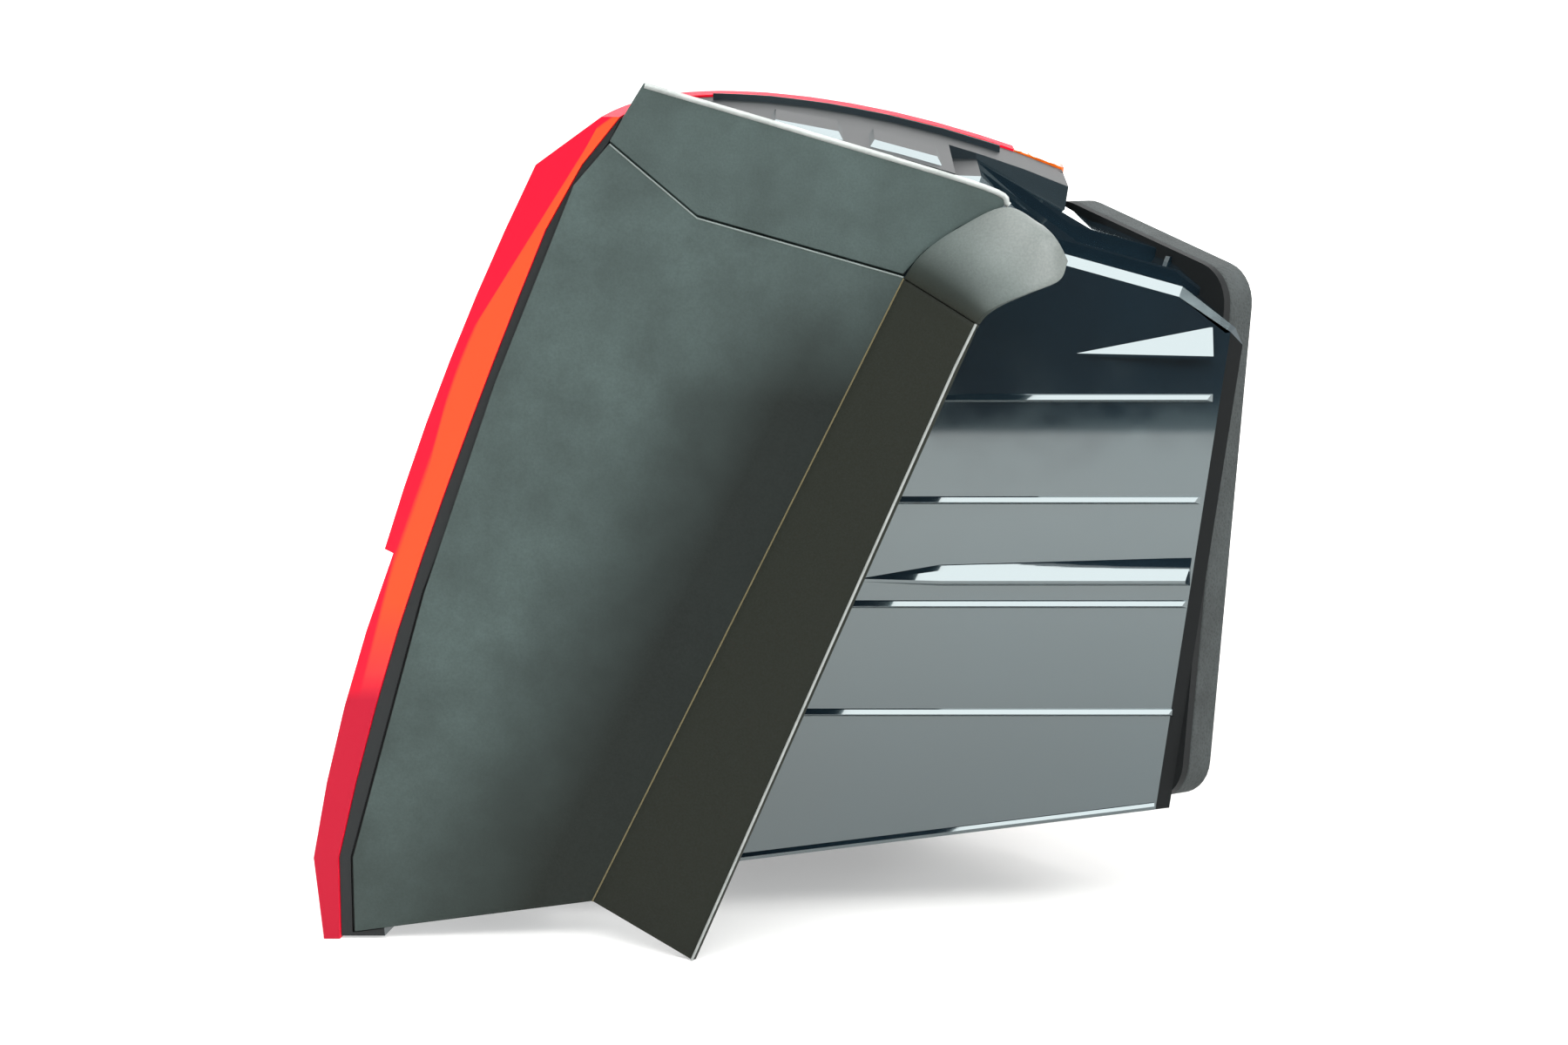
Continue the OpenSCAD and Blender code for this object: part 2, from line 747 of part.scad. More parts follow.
module carrier_seal() {
    color([0.1, 0.1, 0.1]) on_bulkhead() difference() {
        block([0, bulb_y - port_hw - carrier_lap, port_low - carrier_lap],
              [seal_t, bulb_y + port_hw + carrier_lap, port_high + carrier_lap]);
        block([-1, bulb_y - port_hw, port_low], [seal_t + 1, bulb_y + port_hw, port_high]);
    }
}

module shroud_block(x0, x1, wall_t) {
    block([carrier_face + x0, bulb_y - 12 + wall_t, socket_z - 9 + wall_t],
          [carrier_face + x1, bulb_y + 12 - wall_t, socket_z + 9 - wall_t]);
}

module connector_shroud() {
    difference() {
        shroud_block(-eps, 16, 0);
        shroud_block(0, 17, 1.8);
    }
}

module bulb_carrier() {
    color([0.75, 0.76, 0.74]) on_bulkhead() difference() {
        union() {
            block([seal_t, bulb_y - port_hw - carrier_lap, port_low - carrier_lap],
                  [carrier_face, bulb_y + port_hw + carrier_lap, port_high + carrier_lap]);
            for (z = bulb_z) rod_x(-9, carrier_face + 7, bulb_y, z, base_r + 3);
            connector_shroud();
        }
        for (z = bulb_z) rod_x(-10, carrier_face + 4, bulb_y, z, base_r + seat_gap);
    }
}

module strip(z0, z1, side) {
    y = bulb_y + side * 15.5;
    block([carrier_face, y - 2.5, z0], [carrier_face + strip_t, y + 2.5, z1]);
}

module earth_strip() {
    color([0.8, 0.75, 0.5]) on_bulkhead() strip(bulb_z[0] - 14, bulb_z[2] + 14, 1);
}

module live_strips() {
    color([0.8, 0.75, 0.5]) on_bulkhead() for (z = bulb_z) strip(z - 14, z + 14, -1);
}

module connector_pins() {
    color([0.82, 0.78, 0.55]) on_bulkhead() for (i = [-1.5:1:1.5]) let (y = bulb_y + i * 4.5)
        block([carrier_face, y - 1.4, socket_z - 0.4], [carrier_face + 11, y + 1.4, socket_z + 0.4]);
}

module bulb_glass(i) {
    color([0.9, 0.93, 0.95, 0.5]) on_bulkhead() translate([0, bulb_y, bulb_z[i]]) rotate([0, -90, 0])
        translate([0, 0, 16]) rotate_extrude($fn = 40) union() {
            square([base_r - 1, glass_l - glass_r]);
            translate([0, glass_l - glass_r]) intersection() {
                circle(glass_r, $fn = 40);
                translate([0, -glass_r]) square([glass_r, 2 * glass_r]);
            }
        }
}

module bulb_base(i) {
    color([0.75, 0.6, 0.3]) on_bulkhead() {
        rod_x(-15.9, carrier_face + 3.8, bulb_y, bulb_z[i], base_r);
    }
}

module carrier_clips() {
    color([0.6, 0.6, 0.62]) on_bulkhead() {
        translate([0, bulb_y, port_high + carrier_lap + 0.4]) spring_clip();
        translate([0, bulb_y, port_low - carrier_lap - 0.4]) mirror([0, 0, 1]) spring_clip();
    }
}

// A spring clip with its foot on the bulkhead and its hook over the carrier
module spring_clip() {
    block([0, -5, 0], [1, 5, 9]);
    block([0, -5, 0], [carrier_face + 1.3, 5, 1]);
    block([carrier_face + 0.3, -5, -3], [carrier_face + 1.3, 5, 1]);
}

// Fixings on the flange

module stud(z) {
    on_flange() {
        rod_x(-root_l, shank_x - collar_t + eps, stud_s, z, root_r);
        rod_x(shank_x - collar_t, shank_x, stud_s, z, collar_r);
        rod_x(shank_x - eps, shank_x + stud_l, stud_s, z, stud_r);
    }
}

module stud_upper() color([0.75, 0.72, 0.6]) stud(stud_high_z);
module stud_lower() color([0.75, 0.72, 0.6]) stud(stud_low_z);

module locating_pin() {
    color([0.75, 0.72, 0.6]) on_flange() {
        rod_x(-root_l, flange_t, pin_s, stud_low_z, pin_root_r);
        rod_x(flange_t - eps, flange_t + pin_l, pin_s, stud_low_z, pin_r);
    }
}

module stud_washers() {
    color([0.12, 0.12, 0.12]) on_flange() for (z = [stud_low_z, stud_high_z]) difference() {
        rod_x(flange_t, flange_t + washer_t, stud_s, z, collar_r);
        rod_x(flange_t - 1, flange_t + washer_t + 1, stud_s, z, root_r + seat_gap);
    }
}

module vent_cap() {
    color([0.1, 0.1, 0.1]) on_bulkhead() {
        rod_x(-wall, 0.5, vent_y, vent_z, vent_r - seat_gap);
        rod_x(0, 6, vent_y, vent_z, vent_r + 2);
    }
}

seated() housing();
seated() side_cover();
seated() lens_red();
seated() lens_amber();
seated() lens_clear();
seated() marker_window();
seated() reflex_insert();
seated() reflector();
seated() gasket();
seated() bulb_carrier();
seated() carrier_seal();
seated() earth_strip();
seated() live_strips();
seated() connector_pins();
seated() bulb_glass(2);  // stop_glass
seated() bulb_base(2);  // stop_base
seated() bulb_glass(1);  // turn_glass
seated() bulb_base(1);  // turn_base
seated() bulb_glass(0);  // reverse_glass
seated() bulb_base(0);  // reverse_base
seated() carrier_clips();
seated() stud_upper();
seated() stud_lower();
seated() locating_pin();
seated() stud_washers();
seated() vent_cap();
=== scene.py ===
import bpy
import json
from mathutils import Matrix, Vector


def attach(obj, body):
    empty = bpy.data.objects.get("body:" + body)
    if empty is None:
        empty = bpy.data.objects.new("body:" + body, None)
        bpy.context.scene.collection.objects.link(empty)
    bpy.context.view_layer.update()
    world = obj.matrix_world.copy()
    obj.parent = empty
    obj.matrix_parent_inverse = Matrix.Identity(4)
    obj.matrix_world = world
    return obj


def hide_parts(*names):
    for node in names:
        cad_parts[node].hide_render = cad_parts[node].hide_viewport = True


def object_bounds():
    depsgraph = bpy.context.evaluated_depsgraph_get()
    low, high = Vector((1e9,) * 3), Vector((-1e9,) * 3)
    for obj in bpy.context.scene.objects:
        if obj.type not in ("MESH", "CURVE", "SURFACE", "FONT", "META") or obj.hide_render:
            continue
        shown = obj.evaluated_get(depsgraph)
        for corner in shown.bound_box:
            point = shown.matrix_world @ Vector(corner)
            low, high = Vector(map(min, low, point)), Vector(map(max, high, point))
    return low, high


bl_info = {
    "name": "Rear lamp cluster",
    "version": (1, 0, 0),
    "blender": (4, 5, 0),
    "location": "View3D > Sidebar > Rear lamp",
    "description": "Dresses a left rear lamp cluster with its finishes and a small studio",
    "category": "Object",
}

import json
import math

import bmesh
import bpy
from mathutils import Matrix, Vector

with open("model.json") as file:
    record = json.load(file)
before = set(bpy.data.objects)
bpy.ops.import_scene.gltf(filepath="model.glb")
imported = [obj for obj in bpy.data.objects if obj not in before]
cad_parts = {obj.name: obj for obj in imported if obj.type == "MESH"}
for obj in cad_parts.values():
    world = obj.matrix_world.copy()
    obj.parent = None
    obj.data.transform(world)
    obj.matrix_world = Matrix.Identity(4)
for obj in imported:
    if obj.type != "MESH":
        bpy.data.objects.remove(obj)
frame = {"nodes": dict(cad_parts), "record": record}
CAD_BOX = [list(corner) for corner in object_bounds()]

MM = 0.001
BODY = "root"

# The drawing's datum: rearmost line of the lens, inner face of the side cover, foot of the lens.
LIP_OUT = 22
DATUM = Vector(CAD_BOX[0]) + Vector((0, LIP_OUT * MM, 0))


def place(x, y, z):
    """A point of the drawing, in millimetres from the datum, as a point of the part's frame in metres."""
    return DATUM + Vector((x, y, z)) * MM


def linear(code, alpha=1.0):
    """The linear colour of an sRGB hex code such as 8A8D8F."""
    parts = [int(code[i:i + 2], 16) / 255 for i in (0, 2, 4)]
    return (*[p / 12.92 if p <= 0.04045 else ((p + 0.055) / 1.055) ** 2.4 for p in parts], alpha)


def shade_of(colour):
    """A colour property as the four numbers that a shader socket takes."""
    return (*colour[:3], 1.0)


def per(size_mm):
    """The scale of a pattern whose blotches or cells are about size_mm across."""
    return 1 / (size_mm * MM)


def add_node(tree, kind, inputs=None, **settings):
    """Adds a node, sets its settings and gives its inputs a value or a link. An input's name means the first
    open socket that has it, and a node given as a value stands for its first open output."""
    made = tree.nodes.new(kind)
    for key, value in settings.items():
        setattr(made, key, value)
    for key, value in (inputs or {}).items():
        socket = made.inputs[key] if isinstance(key, int) else next(
            s for s in made.inputs if s.enabled and s.name == key)
        if isinstance(value, bpy.types.Node):
            value = next(s for s in value.outputs if s.enabled)
        if isinstance(value, bpy.types.NodeSocket):
            tree.links.new(value, socket)
        else:
            socket.default_value = value
    return made


# Finishes

SOCKETS = {"ior": "IOR", "coat_ior": "Coat IOR", "specular_ior_level": "Specular IOR Level"}


def new_material(name):
    """An empty material, its tree and the coordinates of the piece that it is on."""
    material = bpy.data.materials.new(name)
    material.use_nodes = True
    tree = material.node_tree
    tree.nodes.clear()
    return material, tree, add_node(tree, "ShaderNodeTexCoord").outputs["Object"]


def end_material(material, **sockets):
    """Ends a material in a Principled shader, whose sockets are set by name."""
    tree = material.node_tree
    shader = add_node(tree, "ShaderNodeBsdfPrincipled",
                      {SOCKETS.get(key, key.replace("_", " ").title()): value
                       for key, value in sockets.items()})
    add_node(tree, "ShaderNodeOutputMaterial", {"Surface": shader})
    return material


def fade(tree, value, low, high, first, second, most=1.0):
    """A colour that turns from the first towards the second while a value goes from low to high."""
    share = add_node(tree, "ShaderNodeMapRange",
                     {"Value": value, "From Min": low, "From Max": high, "To Max": most})
    return add_node(tree, "ShaderNodeMix", {"Factor": share, "A": first, "B": second}, data_type="RGBA")


def pressed(tree, coords, size_mm, depth_mm, strength, detail=2.0):
    """The normal of a surface with grain or waves of a size and depth in millimetres."""
    grain = add_node(tree, "ShaderNodeTexNoise", {"Vector": coords, "Scale": per(size_mm), "Detail": detail})
    return add_node(tree, "ShaderNodeBump",
                    {"Height": grain, "Distance": depth_mm * MM, "Strength": strength})


def background_rays(tree):
    """1 for the rays that show the background: the camera's, and those in gloss and glass."""
    rays = add_node(tree, "ShaderNodeLightPath").outputs
    seen = rays["Is Camera Ray"]
    for other in ("Is Glossy Ray", "Is Transmission Ray"):
        seen = add_node(tree, "ShaderNodeMath", {0: seen, 1: rays[other]}, operation="MAXIMUM")
    return seen


# The cover gets painted shade beside the fold, where the lip shades it, strongest below the seam, and is
# darker low down. Each pair says in millimetres where that starts and where it is strongest: across from the
# fold, and above the foot.
FOLD_SHADE = (-70, -18)
SEAM_SHADE = (238, 190)
FOOT_SHADE = (110, 0)


def grained_polypropylene(p):
    """Spark-eroded polypropylene: matte, grey-green, slightly mottled, with a fine leather-like grain.
    Painted shade darkens it beside the fold and on the lip, it is darker low down, and a painted highlight
    lightens the rolled end. The grain is about 0.4 mm, drawn at 0.8 mm to show."""
    material, tree, coords = new_material("grained_polypropylene")
    patches = add_node(tree, "ShaderNodeTexNoise",
                       {"Vector": coords, "Scale": per(26), "Detail": 4.0, "Roughness": 0.6})
    grain = add_node(tree, "ShaderNodeTexNoise", {"Vector": coords, "Scale": per(0.8), "Detail": 2.0})
    level = add_node(tree, "ShaderNodeSeparateXYZ", {"Vector": coords}).outputs["Z"]
    lip = add_node(tree, "ShaderNodeAttribute", attribute_name="lip_shade").outputs["Fac"]
    # The rolled end's polish, which also carries its painted highlight
    rolled = add_node(tree, "ShaderNodeAttribute", attribute_name="roll_polish_and_highlight").outputs["Fac"]
    lean = math.atan2(FOLD_TOP[0] - FOLD_FOOT[0], FOLD_TOP[2] - FOLD_FOOT[2])
    across = Vector((math.cos(lean), 0, -math.sin(lean)))
    beside = add_node(tree, "ShaderNodeVectorMath", {0: coords, 1: across}, operation="DOT_PRODUCT")
    fold = place(*FOLD_FOOT).dot(across)
    near_fold, under_seam, low, specks = [
        add_node(tree, "ShaderNodeMapRange", {"Value": value, "From Min": start, "From Max": end,
                                              "To Min": least, "To Max": most})
        for value, start, end, least, most in (
            (beside, fold + FOLD_SHADE[0] * MM, fold + FOLD_SHADE[1] * MM, 0.0, 1.0),
            (level, DATUM.z + SEAM_SHADE[0] * MM, DATUM.z + SEAM_SHADE[1] * MM, 0.08, 0.92),
            (level, DATUM.z + FOOT_SHADE[0] * MM, DATUM.z + FOOT_SHADE[1] * MM, 0.0, 0.3),
            (grain, 0.3, 0.75, 0.0, 0.22))]
    painted_fold_shade = add_node(tree, "ShaderNodeMath", {0: near_fold, 1: under_seam}, operation="MULTIPLY")
    base = fade(tree, patches, 0.35, 0.68, shade_of(p.colour), shade_of(p.rubbed))
    # Mixed in: painted shade beside the fold, a darker foot, the lip's painted shade, the rolled end's
    # painted highlight and grain specks
    for share, colour in ((painted_fold_shade, linear("0F1310")), (low, linear("23271F")), (lip, shade_of(p.lip_shade_colour)),
                          (rolled, shade_of(p.roll_highlight_colour)), (specks, linear("2A302E"))):
        base = add_node(tree, "ShaderNodeMix", {"Factor": share, "A": base, "B": colour}, data_type="RGBA")
    gloss = add_node(tree, "ShaderNodeMapRange", {"Value": rolled, "To Min": 0.6, "To Max": 0.4})
    bump = add_node(tree, "ShaderNodeBump", {"Height": grain, "Distance": 0.06 * MM, "Strength": 0.7})
    return end_material(material, base_color=base, roughness=gloss, ior=1.49, specular_ior_level=0.22,
                        normal=bump)


def polished_abs(p):
    """Gloss black ABS from a polished mould: deep navy black, mirror-like, with faint flow waves 60 mm
    wide."""
    material, tree, coords = new_material("polished_abs")
    clouds = add_node(tree, "ShaderNodeTexNoise", {"Vector": coords, "Scale": per(45), "Detail": 2.0})
    tint = add_node(tree, "ShaderNodeMix", {"Factor": clouds, "A": shade_of(p.colour), "B": linear("141B22")},
                    data_type="RGBA")
    smears = add_node(tree, "ShaderNodeTexNoise", {"Vector": coords, "Scale": per(18), "Detail": 3.0})
    gloss = add_node(tree, "ShaderNodeMapRange",
                     {"Value": smears, "From Min": 0.35, "From Max": 0.7, "To Min": 0.04, "To Max": 0.11})
    return end_material(material, base_color=tint, roughness=gloss, ior=1.54, specular_ior_level=1.0,
                        coat_weight=1.0, coat_roughness=0.03, coat_ior=1.68, specular_tint=linear("DCEBEC"),
                        coat_tint=linear("E4F0F1"), normal=pressed(tree, coords, 60, 0.3, 0.5, 0.0))


def satin_abs():
    """The same black ABS where the mould was etched: satin, so that it stays dark beside the gloss."""
    material, tree, coords = new_material("satin_abs")
    return end_material(material, base_color=linear("1B1F20"), roughness=0.5, ior=1.5,
                        specular_ior_level=0.35, normal=pressed(tree, coords, 0.7, 0.03, 0.6))


def dark_flange_and_shade_band():
    """Nearly black, rough ABS for the flange plate, and painted shade on the band of wall beside it, which
    stands in for the dark gap beside the foam.
    """
    material, tree, coords = new_material("dark_flange_and_shade_band")
    return end_material(material, base_color=linear("0D1011"), roughness=0.6, ior=1.5,
                        specular_ior_level=0.2, normal=pressed(tree, coords, 0.9, 0.04, 0.6))


# Reflex prisms are 2.4 mm across. They fade in between these shares of the lens's height.
PRISM = 2.4
PRISM_TOP = (0.335, 0.30)


def prism_cells(tree, coords):
    """The square cells of the reflex prisms: 0 at the middle of a cell, more towards its corners."""
    return add_node(tree, "ShaderNodeTexVoronoi", {"Vector": coords, "Scale": per(PRISM), "Randomness": 0.0})


def red_acrylic(p):
    """Moulded red acrylic: saturated, clear and glossy. Reflex prisms show at the foot."""
    material, tree, coords = new_material("red_acrylic")
    height = add_node(tree, "ShaderNodeAttribute", attribute_name="lens_height").outputs["Fac"]
    tone = fade(tree, height, *PRISM_TOP, shade_of(p.colour), shade_of(p.low))
    foot = add_node(tree, "ShaderNodeMapRange",
                    {"Value": height, "From Min": PRISM_TOP[0], "From Max": PRISM_TOP[1]})
    prisms = add_node(tree, "ShaderNodeMath", {0: prism_cells(tree, coords), 1: foot}, operation="MULTIPLY")
    bump = add_node(tree, "ShaderNodeBump", {"Height": prisms, "Distance": 0.25 * MM, "Strength": 0.35})
    # The emission is a painted glow, for light coming through the lens.
    return end_material(material, base_color=tone, roughness=0.07, ior=1.49, transmission_weight=0.15,
                        coat_weight=0.12, coat_roughness=0.03, specular_ior_level=0.3, emission_color=tone,
                        emission_strength=0.16, normal=bump)


def welded_red(p):
    """The red acrylic's rim where the mould was etched and the plate weld left it dull: satin red."""
    material, tree, coords = new_material("welded_red")
    clouds = add_node(tree, "ShaderNodeTexNoise", {"Vector": coords, "Scale": per(6), "Detail": 3.0})
    tone = add_node(tree, "ShaderNodeMix", {"Factor": clouds, "A": shade_of(p.colour), "B": linear("D01030")},
                    data_type="RGBA")
    # The emission is a painted glow.
    return end_material(material, base_color=tone, roughness=0.55, ior=1.49, specular_ior_level=0.25,
                        emission_color=tone, emission_strength=0.22,
                        normal=pressed(tree, coords, 0.8, 0.03, 0.5))


def satin_skirt(p):
    """The skirt of the lens towards the cover: etched to satin and given a painted glow, crimson outside, a
    lighter orange-red painted glow inside, where the wall is thin, and dark red at the foot."""
    material, tree, coords = new_material("satin_skirt")
    depth = add_node(tree, "ShaderNodeAttribute", attribute_name="skirt_depth").outputs["Fac"]
    height = add_node(tree, "ShaderNodeAttribute", attribute_name="lens_height").outputs["Fac"]
    inner = fade(tree, height, 0.30, 0.42, linear("E0283A"), shade_of(p.inner))
    glow = fade(tree, depth, 3.2, 4.4, shade_of(p.colour), inner)
    tone = fade(tree, height, *PRISM_TOP, glow, shade_of(p.low))
    return end_material(material, base_color=tone, roughness=0.42, ior=1.49, specular_ior_level=0.25,
                        emission_color=tone, emission_strength=0.2,
                        normal=pressed(tree, coords, 5, 0.04, 0.4))


def amber_acrylic(p):
    """Moulded amber acrylic: clear orange with gloss and a faint flow wave."""
    material, tree, coords = new_material("amber_acrylic")
    return end_material(material, base_color=shade_of(p.amber), roughness=0.08, ior=1.49,
                        transmission_weight=0.2, coat_weight=0.3, coat_roughness=0.03,
                        normal=pressed(tree, coords, 5, 0.06, 0.4))


def clear_acrylic():
    """Clear moulded acrylic: colourless, so that the bowl behind it shows through the flutes."""
    material, tree, coords = new_material("clear_acrylic")
    return end_material(material, base_color=linear("EEF2F4"), roughness=0.08, ior=1.49,
                        transmission_weight=0.85, normal=pressed(tree, coords, 6, 0.05, 0.4))


def prism_acrylic():
    """Red reflex acrylic: corner prisms on the back break it into bright cells."""
    material, tree, coords = new_material("prism_acrylic")
    cells = prism_cells(tree, coords)
    tone = add_node(tree, "ShaderNodeMix", {"Factor": cells, "A": linear("D3122A"), "B": linear("6E0513")},
                    data_type="RGBA")
    bump = add_node(tree, "ShaderNodeBump", {"Height": cells, "Distance": 0.5 * MM, "Strength": 0.9})
    return end_material(material, base_color=tone, roughness=0.12, ior=1.49, coat_weight=0.5, normal=bump)


def metallised_plastic():
    """Aluminium evaporated on lacquered plastic: a bright mirror with slight ripple."""
    material, tree, coords = new_material("metallised_plastic")
    ripple = add_node(tree, "ShaderNodeTexNoise", {"Vector": coords, "Scale": per(12), "Detail": 2.0})
    gloss = add_node(tree, "ShaderNodeMapRange",
                     {"Value": ripple, "From Min": 0.3, "From Max": 0.7, "To Min": 0.05, "To Max": 0.14})
    bump = add_node(tree, "ShaderNodeBump", {"Height": ripple, "Distance": 0.15 * MM, "Strength": 0.4})
    return end_material(material, base_color=linear("E6E7E9"), metallic=1.0, roughness=gloss, normal=bump)


def closed_cell_foam(p):
    """Closed-cell EPDM foam: dull charcoal with open cut cells of about 0.5 mm, drawn at 1.1 mm to show."""
    material, tree, coords = new_material("closed_cell_foam")
    cells = add_node(tree, "ShaderNodeTexVoronoi", {"Vector": coords, "Scale": per(1.1)})
    wear = add_node(tree, "ShaderNodeTexNoise",
                    {"Vector": coords, "Scale": per(14), "Detail": 4.0, "Roughness": 0.65})
    tone = fade(tree, wear, 0.3, 0.7, shade_of(p.colour), linear("404545"))
    # The pits of the cells are darkened with painted shade.
    depth = add_node(tree, "ShaderNodeMapRange",
                     {"Value": cells, "From Max": 0.5, "To Min": 0.45, "To Max": 0.0})
    pit_shade = add_node(tree, "ShaderNodeMix", {"Factor": depth, "A": tone, "B": linear("1E2221")},
                    data_type="RGBA")
    bump = add_node(tree, "ShaderNodeBump", {"Height": cells, "Distance": 0.25 * MM, "Strength": 0.8})
    return end_material(material, base_color=pit_shade, roughness=0.92, ior=1.45, normal=bump)


def plain_finish(name, code, roughness, dirt="808080", amount=0.15, grain_mm=0.6, **sockets):
    """A moulded or metal finish with fine grain of a size in millimetres and faint blotches of dirt."""
    material, tree, coords = new_material(name)
    blotch = add_node(tree, "ShaderNodeTexNoise",
                      {"Vector": coords, "Scale": per(8), "Detail": 4.0, "Roughness": 0.6})
    tone = fade(tree, blotch, 0.35, 0.75, linear(code), linear(dirt), amount)
    gloss = add_node(tree, "ShaderNodeMapRange", {"Value": blotch, "From Min": 0.3, "From Max": 0.7,
                                                  "To Min": roughness * 0.85, "To Max": roughness * 1.2})
    return end_material(material, base_color=tone, roughness=gloss,
                        normal=pressed(tree, coords, grain_mm, 0.02, 0.6), **sockets)


def painted_highlight_rim(name, code, roughness):
    """Polypropylene along an edge, smooth and pale: the pale colour is a painted highlight where the edge
    catches the light.
    """
    return plain_finish(name, code, roughness, dirt="6A706D", amount=0.5, grain_mm=1.5)


def blown_glass():
    """Thin soda glass, colourless, with a faint wave from blowing."""
    material, tree, coords = new_material("blown_glass")
    return end_material(material, base_color=linear("F4F7F8"), roughness=0.02, ior=1.5,
                        transmission_weight=1.0, normal=pressed(tree, coords, 10, 0.1, 0.3, 1.0))


def painted_floor():
    """The pale studio floor: matte white paint, faintly mottled. It fades to plain white further out."""
    material, tree, coords = new_material("painted_floor")
    clouds = add_node(tree, "ShaderNodeTexNoise", {"Vector": coords, "Scale": per(300), "Detail": 2.0})
    tone = add_node(tree, "ShaderNodeMix", {"Factor": clouds, "A": linear("CECECC"), "B": linear("CACAC8")},
                    data_type="RGBA")
    paint = add_node(tree, "ShaderNodeBsdfPrincipled", {"Base Color": tone, "Roughness": 0.9})
    away = add_node(tree, "ShaderNodeVectorMath", {0: coords}, operation="LENGTH")
    white = add_node(tree, "ShaderNodeMapRange",
                     {"Value": away, "From Min": 0.25, "From Max": 0.65, "To Min": 0.36, "To Max": 1.0})
    glow = add_node(tree, "ShaderNodeEmission", {"Color": (1, 1, 1, 1), "Strength": white})
    lit = add_node(tree, "ShaderNodeAddShader", {0: paint, 1: glow})
    seen = add_node(tree, "ShaderNodeMixShader", {0: background_rays(tree), 1: paint, 2: lit})
    add_node(tree, "ShaderNodeOutputMaterial", {"Surface": seen})
    return material


def black_card():
    """A sheet of black card in front of the lamp, which only its gloss shows. The camera sees it as white."""
    material, tree, _ = new_material("black_card")
    card = add_node(tree, "ShaderNodeBsdfPrincipled", {"Base Color": linear("101214"), "Roughness": 0.9})
    white = add_node(tree, "ShaderNodeEmission", {"Color": (1, 1, 1, 1), "Strength": 1.0})
    camera = add_node(tree, "ShaderNodeLightPath").outputs["Is Camera Ray"]
    seen = add_node(tree, "ShaderNodeMixShader", {0: camera, 1: card, 2: white})
    add_node(tree, "ShaderNodeOutputMaterial", {"Surface": seen})
    return material


# Meshes

def link_mesh(name, mesh):
    """Puts a mesh into the scene as an object at the origin."""
    made = bpy.data.objects.new(name, mesh)
    bpy.context.scene.collection.objects.link(made)
    return made


def dress(piece, material, slot, *nodes):
    """Gives a finished piece its material and its body, and hides the nodes that it stands for. Its slot is
    not used.
    """
    piece.data.materials.clear()
    piece.data.materials.append(material)
    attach(piece, BODY)
    if nodes:
        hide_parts(*nodes)
    return piece


# Marks on the faces of a working mesh. A face without one is as the mould left it.
ROUNDED = 1
FLAT_CUT = 2

# Faces that meet at less than this share a smooth curve, and edges sharper than the second are mould edges
SMOOTH_DEG = 28
EDGE_DEG = 35
# A rounded edge takes the normals of the flat areas that it faces at least this much
FACING = 0.3


def corner_normals(bm, rounded):
    """A normal for every corner: a flat area and a flat cut keep their own, a curve is smooth, and a rounded
    edge blends into both of its neighbours."""
    limit = math.cos(math.radians(SMOOTH_DEG))
    bm.faces.index_update()
    area = [face.calc_area() for face in bm.faces]

    def blend(face, faces):
        total = sum((f.normal * area[f.index] for f in faces), Vector())
        return total.normalized() if total.length > 1e-14 else face.normal.copy()

    normals = []
    for face in bm.faces:
        for vert in face.verts:
            if face[rounded] == FLAT_CUT:
                normals.append(face.normal.copy())
                continue
            plain = [f for f in vert.link_faces if not f[rounded]]
            if not face[rounded]:
                normals.append(blend(face, [f for f in plain if f.normal.dot(face.normal) > limit]))
                continue
            plain = [f for f in plain if f.normal.dot(face.normal) > FACING]
            if plain:
                best = max(plain, key=lambda f: f.normal.dot(face.normal))
                normals.append(blend(best, [f for f in plain if f.normal.dot(best.normal) > limit]))
            else:
                normals.append(blend(face, vert.link_faces))
    return normals


def bevel_edges(bm, rounded, edges, width, segments=1, clamp=False):
    """Rounds edges in a few segments, or cuts a flat slope along them in one, and marks the new faces."""
    made = bmesh.ops.bevel(bm, geom=edges, offset=width, offset_type="OFFSET", segments=segments,
                           profile=0.5, affect="EDGES", clamp_overlap=clamp)
    bm.normal_update()
    for face in made["faces"]:
        face[rounded] = FLAT_CUT if segments == 1 else ROUNDED


def finished_mesh(bm, rounded, name):
    """Turns a working mesh into an object with its own corner normals."""
    bmesh.ops.dissolve_degenerate(bm, edges=bm.edges, dist=0.001 * MM)
    bm.normal_update()
    normals = corner_normals(bm, rounded)
    mesh = bpy.data.meshes.new(name)
    bm.to_mesh(mesh)
    bm.free()
    mesh.shade_smooth()
    mesh.normals_split_custom_set(normals)
    return link_mesh(name, mesh)


def working_copy(node, weld_mm=0.02, flat_deg=0.3):
    """A node's mesh with its points merged and its flat areas joined."""
    bm = bmesh.new()
    bm.from_mesh(frame["nodes"][node].data)
    rounded = bm.faces.layers.int.new("rounded")
    bmesh.ops.remove_doubles(bm, verts=bm.verts, dist=weld_mm * MM)
    bmesh.ops.dissolve_degenerate(bm, edges=bm.edges, dist=weld_mm * MM)
    bmesh.ops.dissolve_limit(bm, angle_limit=math.radians(flat_deg), verts=bm.verts, edges=bm.edges)
    bm.normal_update()
    return bm, rounded


def merged_copy(node, name, radius=0.0, segments=2):
    """A copy of a node with smooth curves, flat areas that stay flat and, with a radius, rounded edges."""
    bm, rounded = working_copy(node)
    if radius:
        edges = [e for e in bm.edges
                 if len(e.link_faces) == 2 and e.calc_face_angle(0) > math.radians(EDGE_DEG)]
        bevel_edges(bm, rounded, edges, radius, segments, clamp=True)
    return finished_mesh(bm, rounded, name)


def add_bevel(piece, width, angle_deg=EDGE_DEG):
    """A small rounding on every sharp edge of a piece that is made here."""
    bevel = piece.modifiers.new("mould_radius", "BEVEL")
    bevel.width = width
    bevel.segments = 2
    bevel.limit_method = "ANGLE"
    bevel.angle_limit = math.radians(angle_deg)
    return piece


